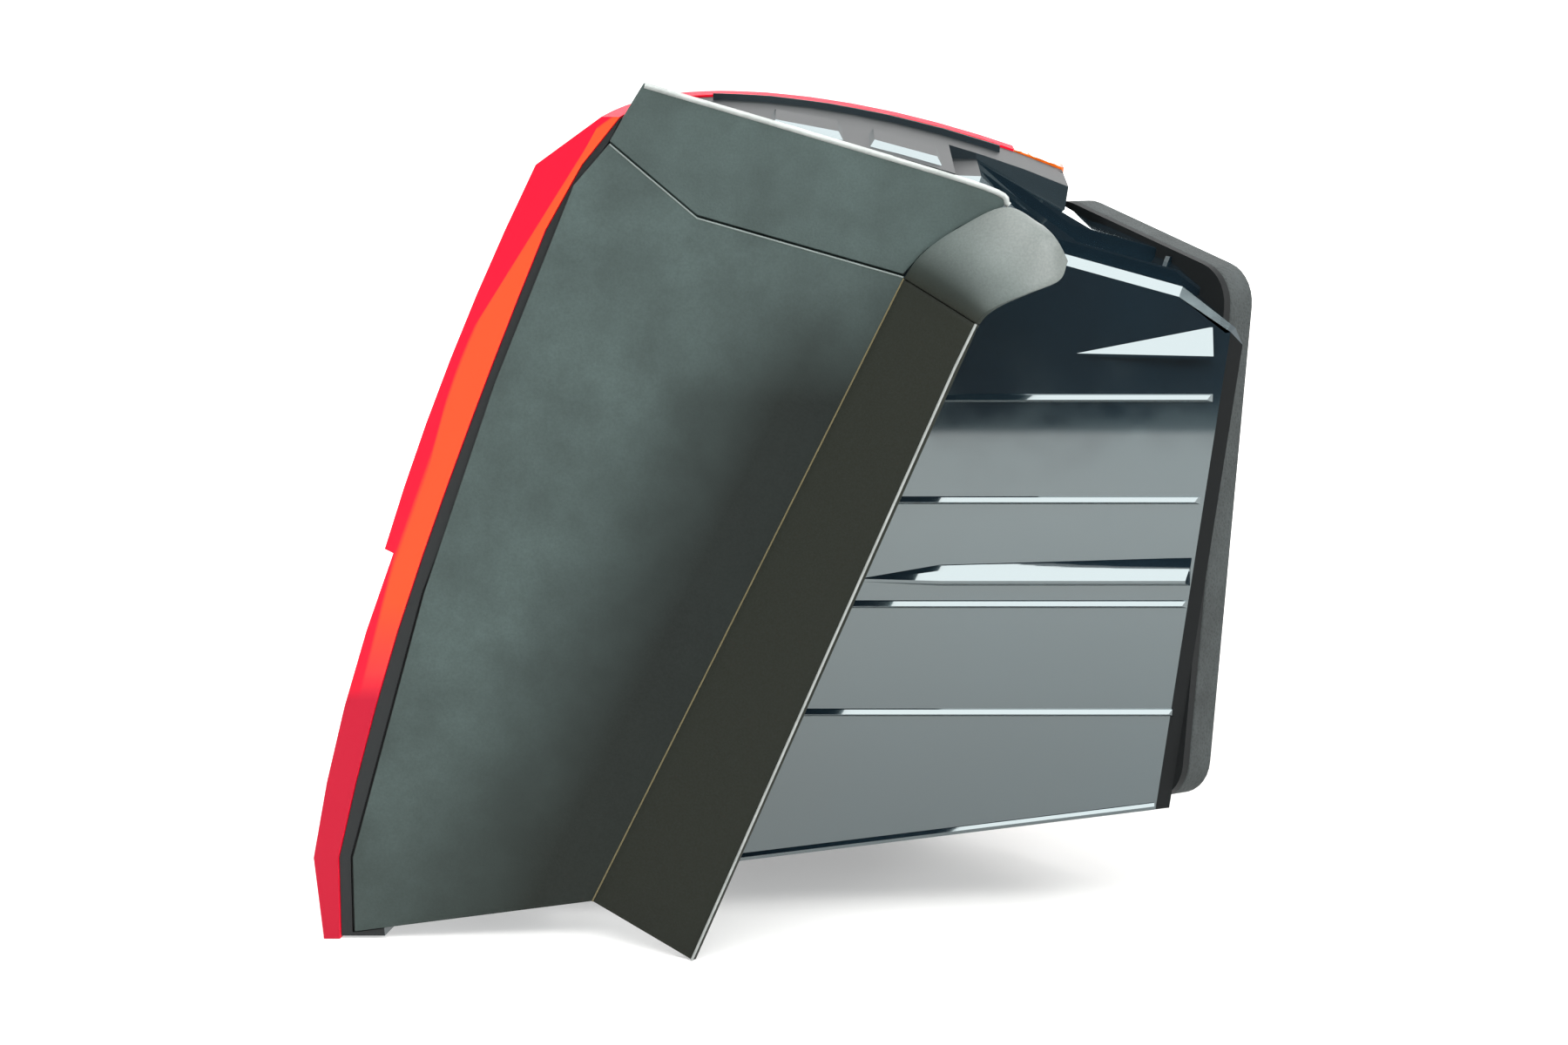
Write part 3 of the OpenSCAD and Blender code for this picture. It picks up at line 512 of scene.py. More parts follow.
def finish_node(node, material):
    """Gives a CAD node that is shown as it is a better material."""
    shown = frame["nodes"][node]
    shown.data.materials.clear()
    shown.data.materials.append(material)


def spline(points, steps):
    """A smooth run of points through the given ones, with the given number of steps in each span."""
    pts = [Vector(p) for p in points]
    ends = [2 * pts[0] - pts[1], *pts, 2 * pts[-1] - pts[-2]]
    run = []
    for i in range(1, len(ends) - 2):
        a, b, c, d = ends[i - 1:i + 3]
        for k in range(steps):
            t = k / steps
            run.append(0.5 * (2 * b + (c - a) * t + (2 * a - 5 * b + 4 * c - d) * t * t
                              + (3 * b - a - 3 * c + d) * t ** 3))
    run.append(pts[-1])
    return run


def skin(rows, bm):
    """Faces between rows of points that all have the same count."""
    grid = [[bm.verts.new(p) for p in row] for row in rows]
    for low, high in zip(grid, grid[1:]):
        for i in range(len(low) - 1):
            bm.faces.new((low[i], low[i + 1], high[i + 1], high[i]))


def slab(bm, outline, near, far):
    """A flat plate with an outline in X and Z, between two depths."""
    front = [bm.verts.new(place(x, near, z)) for x, z in outline]
    back = [bm.verts.new(place(x, far, z)) for x, z in outline]
    bm.faces.new(front)
    bm.faces.new(reversed(back))
    for i in range(len(front)):
        j = (i + 1) % len(front)
        bm.faces.new((front[j], front[i], back[i], back[j]))


def mesh_of(bm, name):
    """Ends a working mesh that was made here, with its faces turned outwards."""
    bmesh.ops.recalc_face_normals(bm, faces=bm.faces)
    mesh = bpy.data.meshes.new(name)
    bm.to_mesh(mesh)
    bm.free()
    return mesh


# Geometry Nodes

def new_tree(name, sockets):
    """An empty node tree for geometry, with named inputs."""
    tree = bpy.data.node_groups.new(name, "GeometryNodeTree")
    tree.interface.new_socket("Geometry", in_out="OUTPUT", socket_type="NodeSocketGeometry")
    for label, kind, value in (*sockets, ("Material", "Material", None)):
        socket = tree.interface.new_socket(label, in_out="INPUT", socket_type="NodeSocket" + kind)
        if value is not None:
            socket.default_value = value
    return tree, add_node(tree, "NodeGroupInput").outputs


def end_tree(tree, geometry, given):
    """Ends a tree in plain geometry with its material."""
    real = add_node(tree, "GeometryNodeRealizeInstances", {"Geometry": geometry})
    coated = add_node(tree, "GeometryNodeSetMaterial", {"Geometry": real, "Material": given["Material"]})
    add_node(tree, "NodeGroupOutput", {"Geometry": coated})
    return tree


def bead_nodes():
    """A round bead that follows a line of points."""
    tree, given = new_tree("bead_along_line", (("Line", "Geometry", None), ("Radius", "Float", 1 * MM)))
    line = add_node(tree, "GeometryNodeMeshToCurve", {"Mesh": given["Line"]})
    section = add_node(tree, "GeometryNodeCurvePrimitiveCircle",
                       {"Resolution": 10, "Radius": given["Radius"]})
    bead = add_node(tree, "GeometryNodeCurveToMesh",
                    {"Curve": line, "Profile Curve": section, "Fill Caps": True})
    return end_tree(tree, bead, given)


def thread_nodes():
    """The ridge of a screw thread: a helix with a three-sided section."""
    tree, given = new_tree("screw_thread", (("Radius", "Float", 3 * MM), ("Turns", "Float", 16.0),
                                            ("Length", "Float", 16 * MM), ("Depth", "Float", 0.4 * MM)))
    helix = add_node(tree, "GeometryNodeCurveSpiral",
                     {"Resolution": 24, "Rotations": given["Turns"], "Start Radius": given["Radius"],
                      "End Radius": given["Radius"], "Height": given["Length"]})
    section = add_node(tree, "GeometryNodeCurvePrimitiveCircle", {"Resolution": 3, "Radius": given["Depth"]})
    ridge = add_node(tree, "GeometryNodeCurveToMesh",
                     {"Curve": helix, "Profile Curve": section, "Fill Caps": True})
    return end_tree(tree, ridge, given)


def flute_nodes():
    """Fine parallel flutes pressed into the faces of a window: each point goes in along its normal by half of
    what the cosine of its place across the flutes gives."""
    tree, given = new_tree("pressed_flutes", (("Window", "Geometry", None), ("Across", "Vector", (0, 1, 0)),
                                              ("Pitch", "Float", 3 * MM), ("Depth", "Float", 0.2 * MM)))
    fine = add_node(tree, "GeometryNodeSubdivideMesh", {"Mesh": given["Window"], "Level": 3})
    press = add_node(tree, "ShaderNodeVectorMath", {0: add_node(tree, "GeometryNodeInputPosition"),
                                                    1: given["Across"]}, operation="DOT_PRODUCT")
    for operation, *other in (("DIVIDE", given["Pitch"]), ("MULTIPLY", math.tau), ("COSINE",),
                              ("MULTIPLY", given["Depth"]), ("SUBTRACT", given["Depth"]), ("MULTIPLY", 0.5)):
        press = add_node(tree, "ShaderNodeMath", dict(enumerate((press, *other))), operation=operation)
    shift = add_node(tree, "ShaderNodeVectorMath", {0: add_node(tree, "GeometryNodeInputNormal"),
                                                    "Scale": press}, operation="SCALE")
    fluted = add_node(tree, "GeometryNodeSetPosition", {"Geometry": fine, "Offset": shift})
    return end_tree(tree, fluted, given)


def run_nodes(name, tree, mesh, values):
    """Runs a tree on a mesh and keeps the result as a plain mesh."""
    source = link_mesh(name + "_source", mesh)
    modifier = source.modifiers.new("build", "NODES")
    modifier.node_group = tree
    for socket in tree.interface.items_tree:
        if socket.in_out == "INPUT" and socket.name in values:
            modifier[socket.identifier] = values[socket.name]
    depsgraph = bpy.context.evaluated_depsgraph_get()
    plain = bpy.data.meshes.new_from_object(source.evaluated_get(depsgraph), depsgraph=depsgraph)
    plain.name = name
    source.modifiers.remove(modifier)
    bpy.data.objects.remove(source)
    return link_mesh(name, plain)


def line_mesh(name, points):
    """A mesh of one line through points of the drawing."""
    mesh = bpy.data.meshes.new(name + "_line")
    mesh.from_pydata([place(*q) for q in points], [(i, i + 1) for i in range(len(points) - 1)], [])
    return mesh


# What a user can set

class LensSettings(bpy.types.PropertyGroup):
    colour: bpy.props.FloatVectorProperty(
        name="Red", description="Colour of the red acrylic", default=linear("F0102E")[:3],
        subtype="COLOR", size=3)
    # The inner edge's orange-red is a painted glow of light through the thin wall.
    inner: bpy.props.FloatVectorProperty(
        name="Inner edge", description="Colour of the thin inner half of the skirt",
        default=linear("FF4A26")[:3], subtype="COLOR", size=3)
    low: bpy.props.FloatVectorProperty(
        name="Foot", description="Colour of the lens near its foot", default=linear("B0102C")[:3],
        subtype="COLOR", size=3)
    amber: bpy.props.FloatVectorProperty(
        name="Amber", description="Colour of the amber acrylic", default=linear("FF7410")[:3],
        subtype="COLOR", size=3)
    radius: bpy.props.FloatProperty(
        name="Edge radius", description="Rounding of the lens edges", default=0.4 * MM, unit="LENGTH")
    pitch: bpy.props.FloatProperty(
        name="Flute pitch", description="Distance between the flutes of the windows", default=3 * MM,
        unit="LENGTH")
    flute: bpy.props.FloatProperty(
        name="Flute depth", description="Depth of the flutes of the windows", default=0.35 * MM,
        unit="LENGTH")


class HousingSettings(bpy.types.PropertyGroup):
    colour: bpy.props.FloatVectorProperty(
        name="Black", description="Colour of the gloss plastic", default=linear("17262F")[:3],
        subtype="COLOR", size=3)
    ledge_radius: bpy.props.FloatProperty(
        name="Ledge hollow", description="Hollow between the ledge and the wall above it", default=2.6 * MM,
        unit="LENGTH")
    roof_chamfer: bpy.props.FloatProperty(
        name="Roof chamfer", description="Slope cut along the roof's near edge", default=3.2 * MM,
        unit="LENGTH")
    rib_chamfer: bpy.props.FloatProperty(
        name="Rib chamfer", description="Slope cut along the ribs' upper corners", default=1.0 * MM,
        unit="LENGTH")


class CoverSettings(bpy.types.PropertyGroup):
    colour: bpy.props.FloatVectorProperty(
        name="Grey", description="Colour of the grained plastic", default=linear("434F4D")[:3],
        subtype="COLOR", size=3)
    rubbed: bpy.props.FloatVectorProperty(
        name="Rubbed", description="Colour where hands have rubbed the grain", default=linear("4F5D5B")[:3],
        subtype="COLOR", size=3)
    # The lip's darker colour is painted shade: the lip faces away from the key light.
    lip_shade_colour: bpy.props.FloatVectorProperty(
        name="Lip", description="Colour of the unfaded lip", default=linear("1B1E16")[:3],
        subtype="COLOR", size=3)
    # The rolled end's pale colour is a painted highlight of the light from above; only its lower roughness is
    # real polish.
    roll_highlight_colour: bpy.props.FloatVectorProperty(
        name="Rolled end", description="Colour of the smooth rolled end", default=linear("6E7471")[:3],
        subtype="COLOR", size=3)
    thickness: bpy.props.FloatProperty(
        name="Thickness", description="Wall of the cover", default=2.5 * MM, unit="LENGTH")
    seam: bpy.props.FloatProperty(
        name="Seam", description="Width of the groove under the upper band", default=0.8 * MM, unit="LENGTH")
    rim: bpy.props.FloatProperty(
        name="Rim radius", description="Radius of the bead on the cover's top edge", default=1.1 * MM,
        unit="LENGTH")
    roll: bpy.props.FloatProperty(
        name="Roll", description="How far the rolled top of the lip bulges", default=5 * MM, unit="LENGTH")


class GasketSettings(bpy.types.PropertyGroup):
    colour: bpy.props.FloatVectorProperty(
        name="Charcoal", description="Colour of the foam", default=linear("343838")[:3],
        subtype="COLOR", size=3)
    radius: bpy.props.FloatProperty(
        name="Edge radius", description="Rounding of the foam's cut edges", default=1.2 * MM, unit="LENGTH")


class StudioSettings(bpy.types.PropertyGroup):
    elevation: bpy.props.FloatProperty(
        name="Elevation", description="Angle of the camera above the horizon", default=math.radians(14),
        subtype="ANGLE")
    distance: bpy.props.FloatProperty(
        name="Distance", description="Distance of the camera from its target", default=1.5, unit="LENGTH")
    focal: bpy.props.FloatProperty(
        name="Focal length", description="Lens of the camera in millimetres", default=99.0)
    fill: bpy.props.FloatProperty(
        name="Fill", description="Strength of the even light from all sides", default=0.2)


# Side cover. Its lines are points of the drawing, each from the foot upwards.

FOLD_FOOT = (96, 0, 13.7)
FOLD_TOP = (202.2, 0, 232.6)
ROLL_FOLD = [(208.8, 0, 241.5), (220.3, 0, 249.7), (236, 0, 256.8), (248.5, 0, 250.5)]
LIP_EDGE = [(131, -22, 0), (178, -22, 111), (218.8, -22, 206.6)]
ROLL_EDGE = [(225.5, -22, 221.6), (231.8, -21.5, 227), (243, -18, 231), (253.5, -10.5, 233.8),
             (256.8, -3, 239)]
REAR_EDGE = [(13.5, 2.6), (13.5, 29.5), (40, 124), (65.2, 197), (92.4, 264)]

# These run from the rear edge forwards, and TOP_EDGE then turns back down to the seam
SEAM = [(104.5, 278), (133.3, 253.2), (202.1, 233.2)]
RIM_LINE = [(116.2, 0, 297.6), (172, 0, 281), (229, 0, 263.5), (237, 0, 257.6)]
TOP_EDGE = [(109.8, 288), (116, 298), (229, 263.5), (236, 258.5), (234.7, 256.2), (220.3, 249.7),
            (208.8, 241.5)]

# The lip has this many steps in each span of its lines and across its width. It swells from two rows below
# the seam over the next rows, outwards and upwards by these shares of the roll.
SPAN_STEPS = 8
LIP_STEPS = 12
SEAM_ROW = 24
SWELL_ROWS = 18
SWELL_OUT, SWELL_UP = 0.9, 0.45

# The rolled end stands a little proud of the lip, and the upper band a little behind the panel
ROLL_STEP = (0, -0.7, 0.3)
BAND_STEP = 0.5
# Rounding of the lip's and the panel's edges
LIP_ROUND, PANEL_ROUND = 0.3, 0.5
# A strip behind the seam closes it: how far it reaches past the seam, into the panel and behind it
STRIP = 2
STRIP_IN, STRIP_OUT = 0.6, 0.3


def lerp(a, b, t):
    """The point a share t of the way from a to b."""
    return tuple(p + (q - p) * t for p, q in zip(a, b))


def lip_rows(bulge):
    """Rows of points across the lip, from its fold to its free edge, from the foot to the rolled end."""
    fold = spline([FOLD_FOOT, lerp(FOLD_FOOT, FOLD_TOP, 0.5), lerp(FOLD_FOOT, FOLD_TOP, 0.93), FOLD_TOP,
                   *ROLL_FOLD], SPAN_STEPS)
    edge = spline([*LIP_EDGE, *ROLL_EDGE], SPAN_STEPS)
    rows = []
    for i, (f, e) in enumerate(zip(fold, edge)):
        rise = min(max((i - SEAM_ROW + 2) / SWELL_ROWS, 0), 1)
        swell = bulge * (3 * rise ** 2 - 2 * rise ** 3)
        row = []
        for k in range(LIP_STEPS + 1):
            t = k / LIP_STEPS
            p = f.lerp(e, t)
            p.y -= swell * math.sin(math.pi * t) * SWELL_OUT
            p.z += swell * math.sin(math.pi * t) * SWELL_UP
            row.append(place(*p))
        rows.append(row)
    return rows


def strip_piece(name, rows, thickness, shade, polish):
    """A wall of even thickness through rows of points, with its painted shade, and its polish with a painted
    highlight, stored along its rows.
    """
    bm = bmesh.new()
    skin(rows, bm)
    mesh = mesh_of(bm, name)
    mesh.shade_smooth()
    if sum(f.normal.y for f in mesh.polygons) > 0:
        mesh.flip_normals()
    for key, along in (("lip_shade", shade), ("roll_polish_and_highlight", polish)):
        layer = mesh.attributes.new(key, "FLOAT", "POINT")
        for n, value in enumerate(layer.data):
            value.value = along(n // len(rows[0]) / (len(rows) - 1))
    made = link_mesh(name, mesh)
    solid = made.modifiers.new("wall", "SOLIDIFY")
    solid.thickness = thickness
    solid.offset = -1
    return add_bevel(made, LIP_ROUND * MM, angle_deg=50)


def cover_panel(thick, gap):
    """The flat of the cover: the panel, the upper band above the seam and the strip behind the seam."""
    bm = bmesh.new()
    fold_side = [lerp(FOLD_TOP, FOLD_FOOT, t) for t in (0, 0.5, 1)]
    slab(bm, [*REAR_EDGE, *SEAM, *[(x, z) for x, _, z in fold_side]], 0, thick)
    upper = [(x, z + gap) for x, z in SEAM]
    slab(bm, [upper[0], *TOP_EDGE, upper[2], upper[1]], BAND_STEP, thick)
    slab(bm, [(x, z - STRIP) for x, z in SEAM] + [(x, z + gap + STRIP) for x, z in reversed(SEAM)],
         thick - STRIP_IN, thick + STRIP_OUT)
    return link_mesh("cover_panel", mesh_of(bm, "cover_panel"))


class LAMP_OT_side_cover(bpy.types.Operator):
    """Models the matte cover with its fold, its upper band and its flared lip"""
    bl_idname = "lamp.side_cover"
    bl_label = "Side cover"

    def execute(self, context):
        p = context.scene.lamp_cover
        panel = cover_panel(p.thickness / MM, p.seam / MM)
        rows = lip_rows(p.roll / MM)
        # The lip takes the full painted shade and no painted highlight.
        lip = strip_piece("cover_lip", rows[:SEAM_ROW + 1], p.thickness, lambda t: 1.0, lambda t: 0.0)
        step = Vector(ROLL_STEP) * MM
        # Along the rolled end the lip's painted shade fades out and its painted highlight and polish grow.
        roll = strip_piece("cover_roll", [[q + step for q in row] for row in rows[SEAM_ROW:]], p.thickness,
                           lambda t: max(1.0 - 2.2 * t, 0.0), lambda t: min(max(1.7 * t - 0.2, 0.0), 1.0))
        finish = grained_polypropylene(p)
        add_bevel(panel, PANEL_ROUND * MM)
        for piece in (panel, lip, roll):
            dress(piece, finish, "cover_grey", "side_cover")
        self.run_beads(p)
        return {"FINISHED"}

    def run_beads(self, p):
        """Runs a bead along the rim, the seam, the fold and the lip's edge, whose pale and tan colours are
        painted highlights where these edges catch the light.
        """
        bead = bead_nodes()
        rim = painted_highlight_rim("painted_highlight_rim", "A9AEAB", 0.38)
        seam_highlight = painted_highlight_rim("painted_highlight_seam", "707B78", 0.45)
        crease_highlight = plain_finish("painted_highlight_crease", "6A6244", 0.5, dirt="3A3A30")
        top = [(q.x, 1.2, q.z - 0.4) for q in spline(RIM_LINE, 6)]
        for name, points, radius, material in (
                ("cover_rim", top, p.rim, rim),
                ("seam_edge", [(x, 0.1, z - 0.2) for x, z in SEAM], 0.3 * MM, seam_highlight),
                ("lip_crease", [FOLD_FOOT, FOLD_TOP], 0.32 * MM, crease_highlight),
                ("lip_edge_bead", [*[(x - 0.3, y, z) for x, y, z in LIP_EDGE], ROLL_EDGE[0]], 0.45 * MM,
                 rim)):
            made = run_nodes(name, bead, line_mesh(name, points), {"Radius": radius, "Material": material})
            dress(made, material, "cover_grey", "side_cover")


# Lens

LENS_HEIGHT = 287
# The rear line is found once for each of these bands of height
LEVEL = 4
# The skirt lies this near to the cover's inner face
SKIRT_REACH = 1
# How far a face looks up or forwards where it is the welded rim, and sideways where it is the skirt
RIM_UP, RIM_FORWARD, SKIRT_SIDE = 0.6, 0.9, -0.7
# The lens's material slots
WELDED, SKIRT = 1, 2


def mark_depth(mesh):
    """Stores how far each point of the near face lies from the rear line, and its share of the height."""
    rear = {}
    for v in mesh.vertices:
        level = round((v.co.z - DATUM.z) / MM / LEVEL)
        rear[level] = min(rear.get(level, math.inf), v.co.x)
    depth = mesh.attributes.new("skirt_depth", "FLOAT", "POINT")
    height = mesh.attributes.new("lens_height", "FLOAT", "POINT")
    for v, d, h in zip(mesh.vertices, depth.data, height.data):
        z = (v.co.z - DATUM.z) / MM
        d.value = (v.co.x - rear[round(z / LEVEL)]) / MM if v.co.y < DATUM.y + SKIRT_REACH * MM else 0.0
        h.value = z / LENS_HEIGHT


class LAMP_OT_lens(bpy.types.Operator):
    """Finishes the red lens, its amber and clear windows and the reflex prisms"""
    bl_idname = "lamp.lens"
    bl_label = "Lens"

    def execute(self, context):
        p = context.scene.lamp_lens
        red = merged_copy("lens_red", "lens_shell", p.radius)
        mark_depth(red.data)
        dress(red, red_acrylic(p), "lens_red", "lens_red")
        red.data.materials.append(welded_red(p))
        red.data.materials.append(satin_skirt(p))
        reach = place(0, SKIRT_REACH, 0).y
        for face in red.data.polygons:
            if face.normal.z > RIM_UP or face.normal.x > RIM_FORWARD:
                face.material_index = WELDED
            elif face.center.y < reach and face.normal.y < SKIRT_SIDE:
                face.material_index = SKIRT
        amber, flutes = amber_acrylic(p), flute_nodes()
        for node, name, across, finish, slot in (
                ("lens_amber", "turn_window", (0, 1, 0), amber, "lens_amber"),
                ("marker_window", "marker_tip", (1, 0, 0), amber, "lens_amber"),
                ("lens_clear", "reverse_window", (0, 1, 0), clear_acrylic(), "lens_clear")):
            window = merged_copy(node, name + "_blank")
            made = run_nodes(name, flutes, window.data, {"Across": across, "Pitch": p.pitch, "Depth": p.flute,
                                                         "Material": finish})
            bpy.data.objects.remove(window)
            made.data.shade_smooth()
            made.data.set_sharp_from_angle(angle=math.radians(50))
            dress(made, finish, slot, node)
        dress(merged_copy("reflex_insert", "reflex_prisms"), prism_acrylic(), "reflex_red", "reflex_insert")
        return {"FINISHED"}


# Housing. Places and sizes are in the drawing's millimetres.

FLANGE_FOOT = (292, 25, 0)
FLANGE_T = 3
YAW, PITCH = math.radians(42), math.radians(5.5)
FLANGE_OUT = Vector((math.cos(PITCH) * math.cos(YAW), math.cos(PITCH) * math.sin(YAW), -math.sin(PITCH)))
TUNNEL_Y = 25
ROOF_LOW = 195
CROWN_Z = 250
LEDGE_TOP = 127.5
RIB_OUT = 1.4
RIBS = 4
# Edges of the ledge and of the ribs are longer than this
LONG_EDGE = 20
# Width of the band of painted shade beside the flange, and the back of the rim that the cover lies on
ROOT_BAND = 3.5
COVER_BACK = 3.2
# A face smaller than this, in square millimetres, belongs to a rounded edge
EDGE_FACE = 6
# How far the flange plate's nearly black finish reaches past its faces
DARK_REACH = 0.6
# The housing's material slots
SATIN, FLANGE_AND_SHADE = 1, 2


def lines_at(bm, y, slack, z=None):
    """The long edges of a mesh that lie at one depth and, if it is given, at one height."""
    return [e for e in bm.edges if len(e.link_faces) == 2 and e.calc_length() > LONG_EDGE * MM
            and all(abs(v.co.y - y) < slack * MM and (z is None or abs(v.co.z - z) < 0.3 * MM)
                    for v in e.verts)]


class LAMP_OT_housing(bpy.types.Operator):
    """Finishes the moulded housing and the vent cap on its bulkhead"""
    bl_idname = "lamp.housing"
    bl_label = "Housing"

    def execute(self, context):
        p = context.scene.lamp_housing
        bm, rounded = working_copy("housing", 0.05)
        self.split_root(bm)
        self.chamfer_roof(bm, rounded, p.roof_chamfer)
        self.hollow_ledge(bm, rounded, p.ledge_radius)
        self.slope_ribs(bm, rounded, p.rib_chamfer)
        shell = finished_mesh(bm, rounded, "housing_shell")
        dress(shell, polished_abs(p), "housing_black", "housing")
        shell.data.materials.append(satin_abs())
        shell.data.materials.append(dark_flange_and_shade_band())
        self.mark_finishes(shell.data)
        finish_node("vent_cap", plain_finish("vent_rubber", "1B1D1E", 0.7, dirt="4A4C4C"))
        return {"FINISHED"}

    def split_root(self, bm):
        """Splits the near wall along a line beside the flange, where the band of painted shade begins."""
        side = place(0, TUNNEL_Y + 1, 0).y
        faces = [f for f in bm.faces if f.normal.y < -0.7 and f.calc_center_median().y < side]
        geom = set(faces)
        for face in faces:
            geom.update(face.edges)
            geom.update(face.verts)
        bmesh.ops.bisect_plane(bm, geom=list(geom), dist=0.01 * MM, plane_no=FLANGE_OUT,
                               plane_co=place(*FLANGE_FOOT) - FLANGE_OUT * ROOT_BAND * MM)
        bm.normal_update()

    def chamfer_roof(self, bm, rounded, width):
        """Slopes the near edge of the tunnel's roof, where the wall turns over into it, so that it shines
        white."""
        side = place(0, TUNNEL_Y, 0).y
        low = place(0, 0, ROOF_LOW).z
        edges = []
        for edge in bm.edges:
            if len(edge.link_faces) != 2:
                continue
            if any(abs(v.co.y - side) > 0.1 * MM or v.co.z < low for v in edge.verts):
                continue
            wall, roof = sorted(f.normal.z for f in edge.link_faces)
            if abs(wall) < 0.1 and roof > 0.6:
                edges.append(edge)
        if not edges:
            raise RuntimeError("the near edge of the roof was not found")
        bevel_edges(bm, rounded, edges, width)

    def hollow_ledge(self, bm, rounded, radius):
        """Blends the ledge's face into the wall above it with a hollow."""
        edges = lines_at(bm, place(0, TUNNEL_Y, 0).y, 0.1, place(0, 0, LEDGE_TOP).z)
        if not edges:
            raise RuntimeError("the upper line of the ledge was not found")
        bevel_edges(bm, rounded, edges, radius, 6)

    def slope_ribs(self, bm, rounded, width):
        """Cuts the ribs' upper corners to the slope that catches the light, as the ledge's face does. Lines
        across their flat tops are taken out first, because they would skew the cut."""
        crest = place(0, TUNNEL_Y - RIB_OUT, 0).y
        side = place(0, TUNNEL_Y, 0).y
        inner = [e for e in bm.edges if len(e.link_faces) == 2 and e.calc_face_angle(1) < 0.02
                 and all(f.normal.z > 0.8 and crest < f.calc_center_median().y < side for f in e.link_faces)]
        bmesh.ops.dissolve_edges(bm, edges=inner, use_verts=True)
        edges = [e for e in lines_at(bm, crest, 0.05) if max(f.normal.z for f in e.link_faces) > 0.8]
        if len(edges) < RIBS:
            raise RuntimeError("the ribs' upper corners were not found")
        bevel_edges(bm, rounded, edges, width)

    def mark_finishes(self, mesh):
        """Makes the rim beside the cover and the crown satin, gives the flange plate its nearly black finish
        and paints shade on the root band beside it."""
        foot, rim, side = place(*FLANGE_FOOT), place(0, COVER_BACK, 0).y, place(0, TUNNEL_Y + 1, 0).y
        high = place(0, 0, CROWN_Z).z
        for face in mesh.polygons:
            out = (face.center - foot).dot(FLANGE_OUT) / MM
            crown = face.center.z > high and face.normal.z > 0.75 and face.area >= EDGE_FACE * MM * MM
            root = -ROOT_BAND - 0.1 < out < 1 and face.center.y < side and face.normal.y < -0.5
            if face.center.y < rim or crown:
                face.material_index = SATIN
            elif -DARK_REACH < out < FLANGE_T + DARK_REACH or root:
                face.material_index = FLANGE_AND_SHADE


class LAMP_OT_gasket(bpy.types.Operator):
    """Finishes the foam gasket"""
    bl_idname = "lamp.gasket"
    bl_label = "Gasket"

    def execute(self, context):
        p = context.scene.lamp_gasket
        dress(merged_copy("gasket", "foam_gasket", p.radius, 3), closed_cell_foam(p), "foam_grey", "gasket")
        return {"FINISHED"}


class LAMP_OT_lamp_inside(bpy.types.Operator):
    """Finishes the reflector, the bulb carrier, its contacts and the bulbs"""
    bl_idname = "lamp.inside"
    bl_label = "Reflector, carrier and bulbs"

    def execute(self, context):
        bowls = merged_copy("reflector", "reflector_bowls")
        dress(bowls, metallised_plastic(), "reflector_silver", "reflector")
        carrier = merged_copy("bulb_carrier", "carrier_body", 0.3 * MM)
        nylon = plain_finish("glass_filled_nylon", "C9C8C0", 0.55, dirt="8C8A80", grain_mm=0.7)
        dress(carrier, nylon, "carrier_white", "bulb_carrier")
        finish_node("carrier_seal", plain_finish("seal_rubber", "191A1B", 0.75, dirt="3C3E3E"))
        brass = plain_finish("tinned_brass", "D9D2B4", 0.28, dirt="8E8668", grain_mm=0.3, metallic=1.0)
        for node in ("earth_strip", "live_strips", "connector_pins"):
            finish_node(node, brass)
        glass = blown_glass()
        cap = plain_finish("nickelled_brass", "CDBE8E", 0.25, dirt="8A7B4C", grain_mm=0.4, metallic=1.0)
        for use in ("stop", "turn", "reverse"):
            finish_node(use + "_glass", glass)
            finish_node(use + "_base", cap)
        steel = plain_finish("spring_steel", "9A9CA0", 0.32, dirt="5E6064", metallic=1.0)
        finish_node("carrier_clips", steel)
        return {"FINISHED"}


# Fixings. An M6 thread has a pitch of 1 mm. The ridge starts above the stud's foot and ends short of its tip.
THREAD_PITCH = 1.0
THREAD_START = 3
THREAD_END = 1.5
RIDGE_SINK, RIDGE_DEPTH = 0.12, 0.3


class LAMP_OT_fixings(bpy.types.Operator):
    """Finishes the studs, their washers and the locating pin"""
    bl_idname = "lamp.fixings"
    bl_label = "Fixings"

    def execute(self, context):
        zinc = plain_finish("zinc_plate", "C9C6B8", 0.34, dirt="8F8B78", grain_mm=0.5, metallic=1.0)
        thread = thread_nodes()
        for mount in frame["record"]["mounts"]:
            name = mount["name"]
            if not name.startswith("stud_"):
                continue
            finish_node(name, zinc)
            cut = mount["dims"]["length_mm"] - THREAD_START - THREAD_END
            ridge = run_nodes(name + "_thread", thread, bpy.data.meshes.new("start"),
                              {"Radius": (mount["dims"]["r_mm"] - RIDGE_SINK) * MM,
                               "Turns": cut / THREAD_PITCH, "Length": cut * MM, "Depth": RIDGE_DEPTH * MM,
                               "Material": zinc})
            axis, foot = Vector(mount["axis"]), Vector(mount["pos_m"])
            turn = axis.to_track_quat("Z", "Y").to_matrix().to_4x4()
            ridge.data.transform(Matrix.Translation(foot + axis * THREAD_START * MM) @ turn)
            dress(ridge, zinc, "stud_zinc")
        finish_node("stud_washers", plain_finish("washer_rubber", "161718", 0.8, dirt="383A3A"))
        finish_node("locating_pin", plain_finish("pin_abs", "14171A", 0.25, dirt="2C3236"))
        return {"FINISHED"}


# Studio. The camera and the softboxes aim at this point of the drawing. The rest is in metres.
TARGET = (162.29, 40, 138.79)
FLOOR_REACH = 6.0
# A black card lies in front of the lamp between two distances, and a black flag stands at its far edge
CARD_NEAR, CARD_FAR, CARD_HALF = 0.74, 3.2, 1.6
FLAG_TOP = 2.0
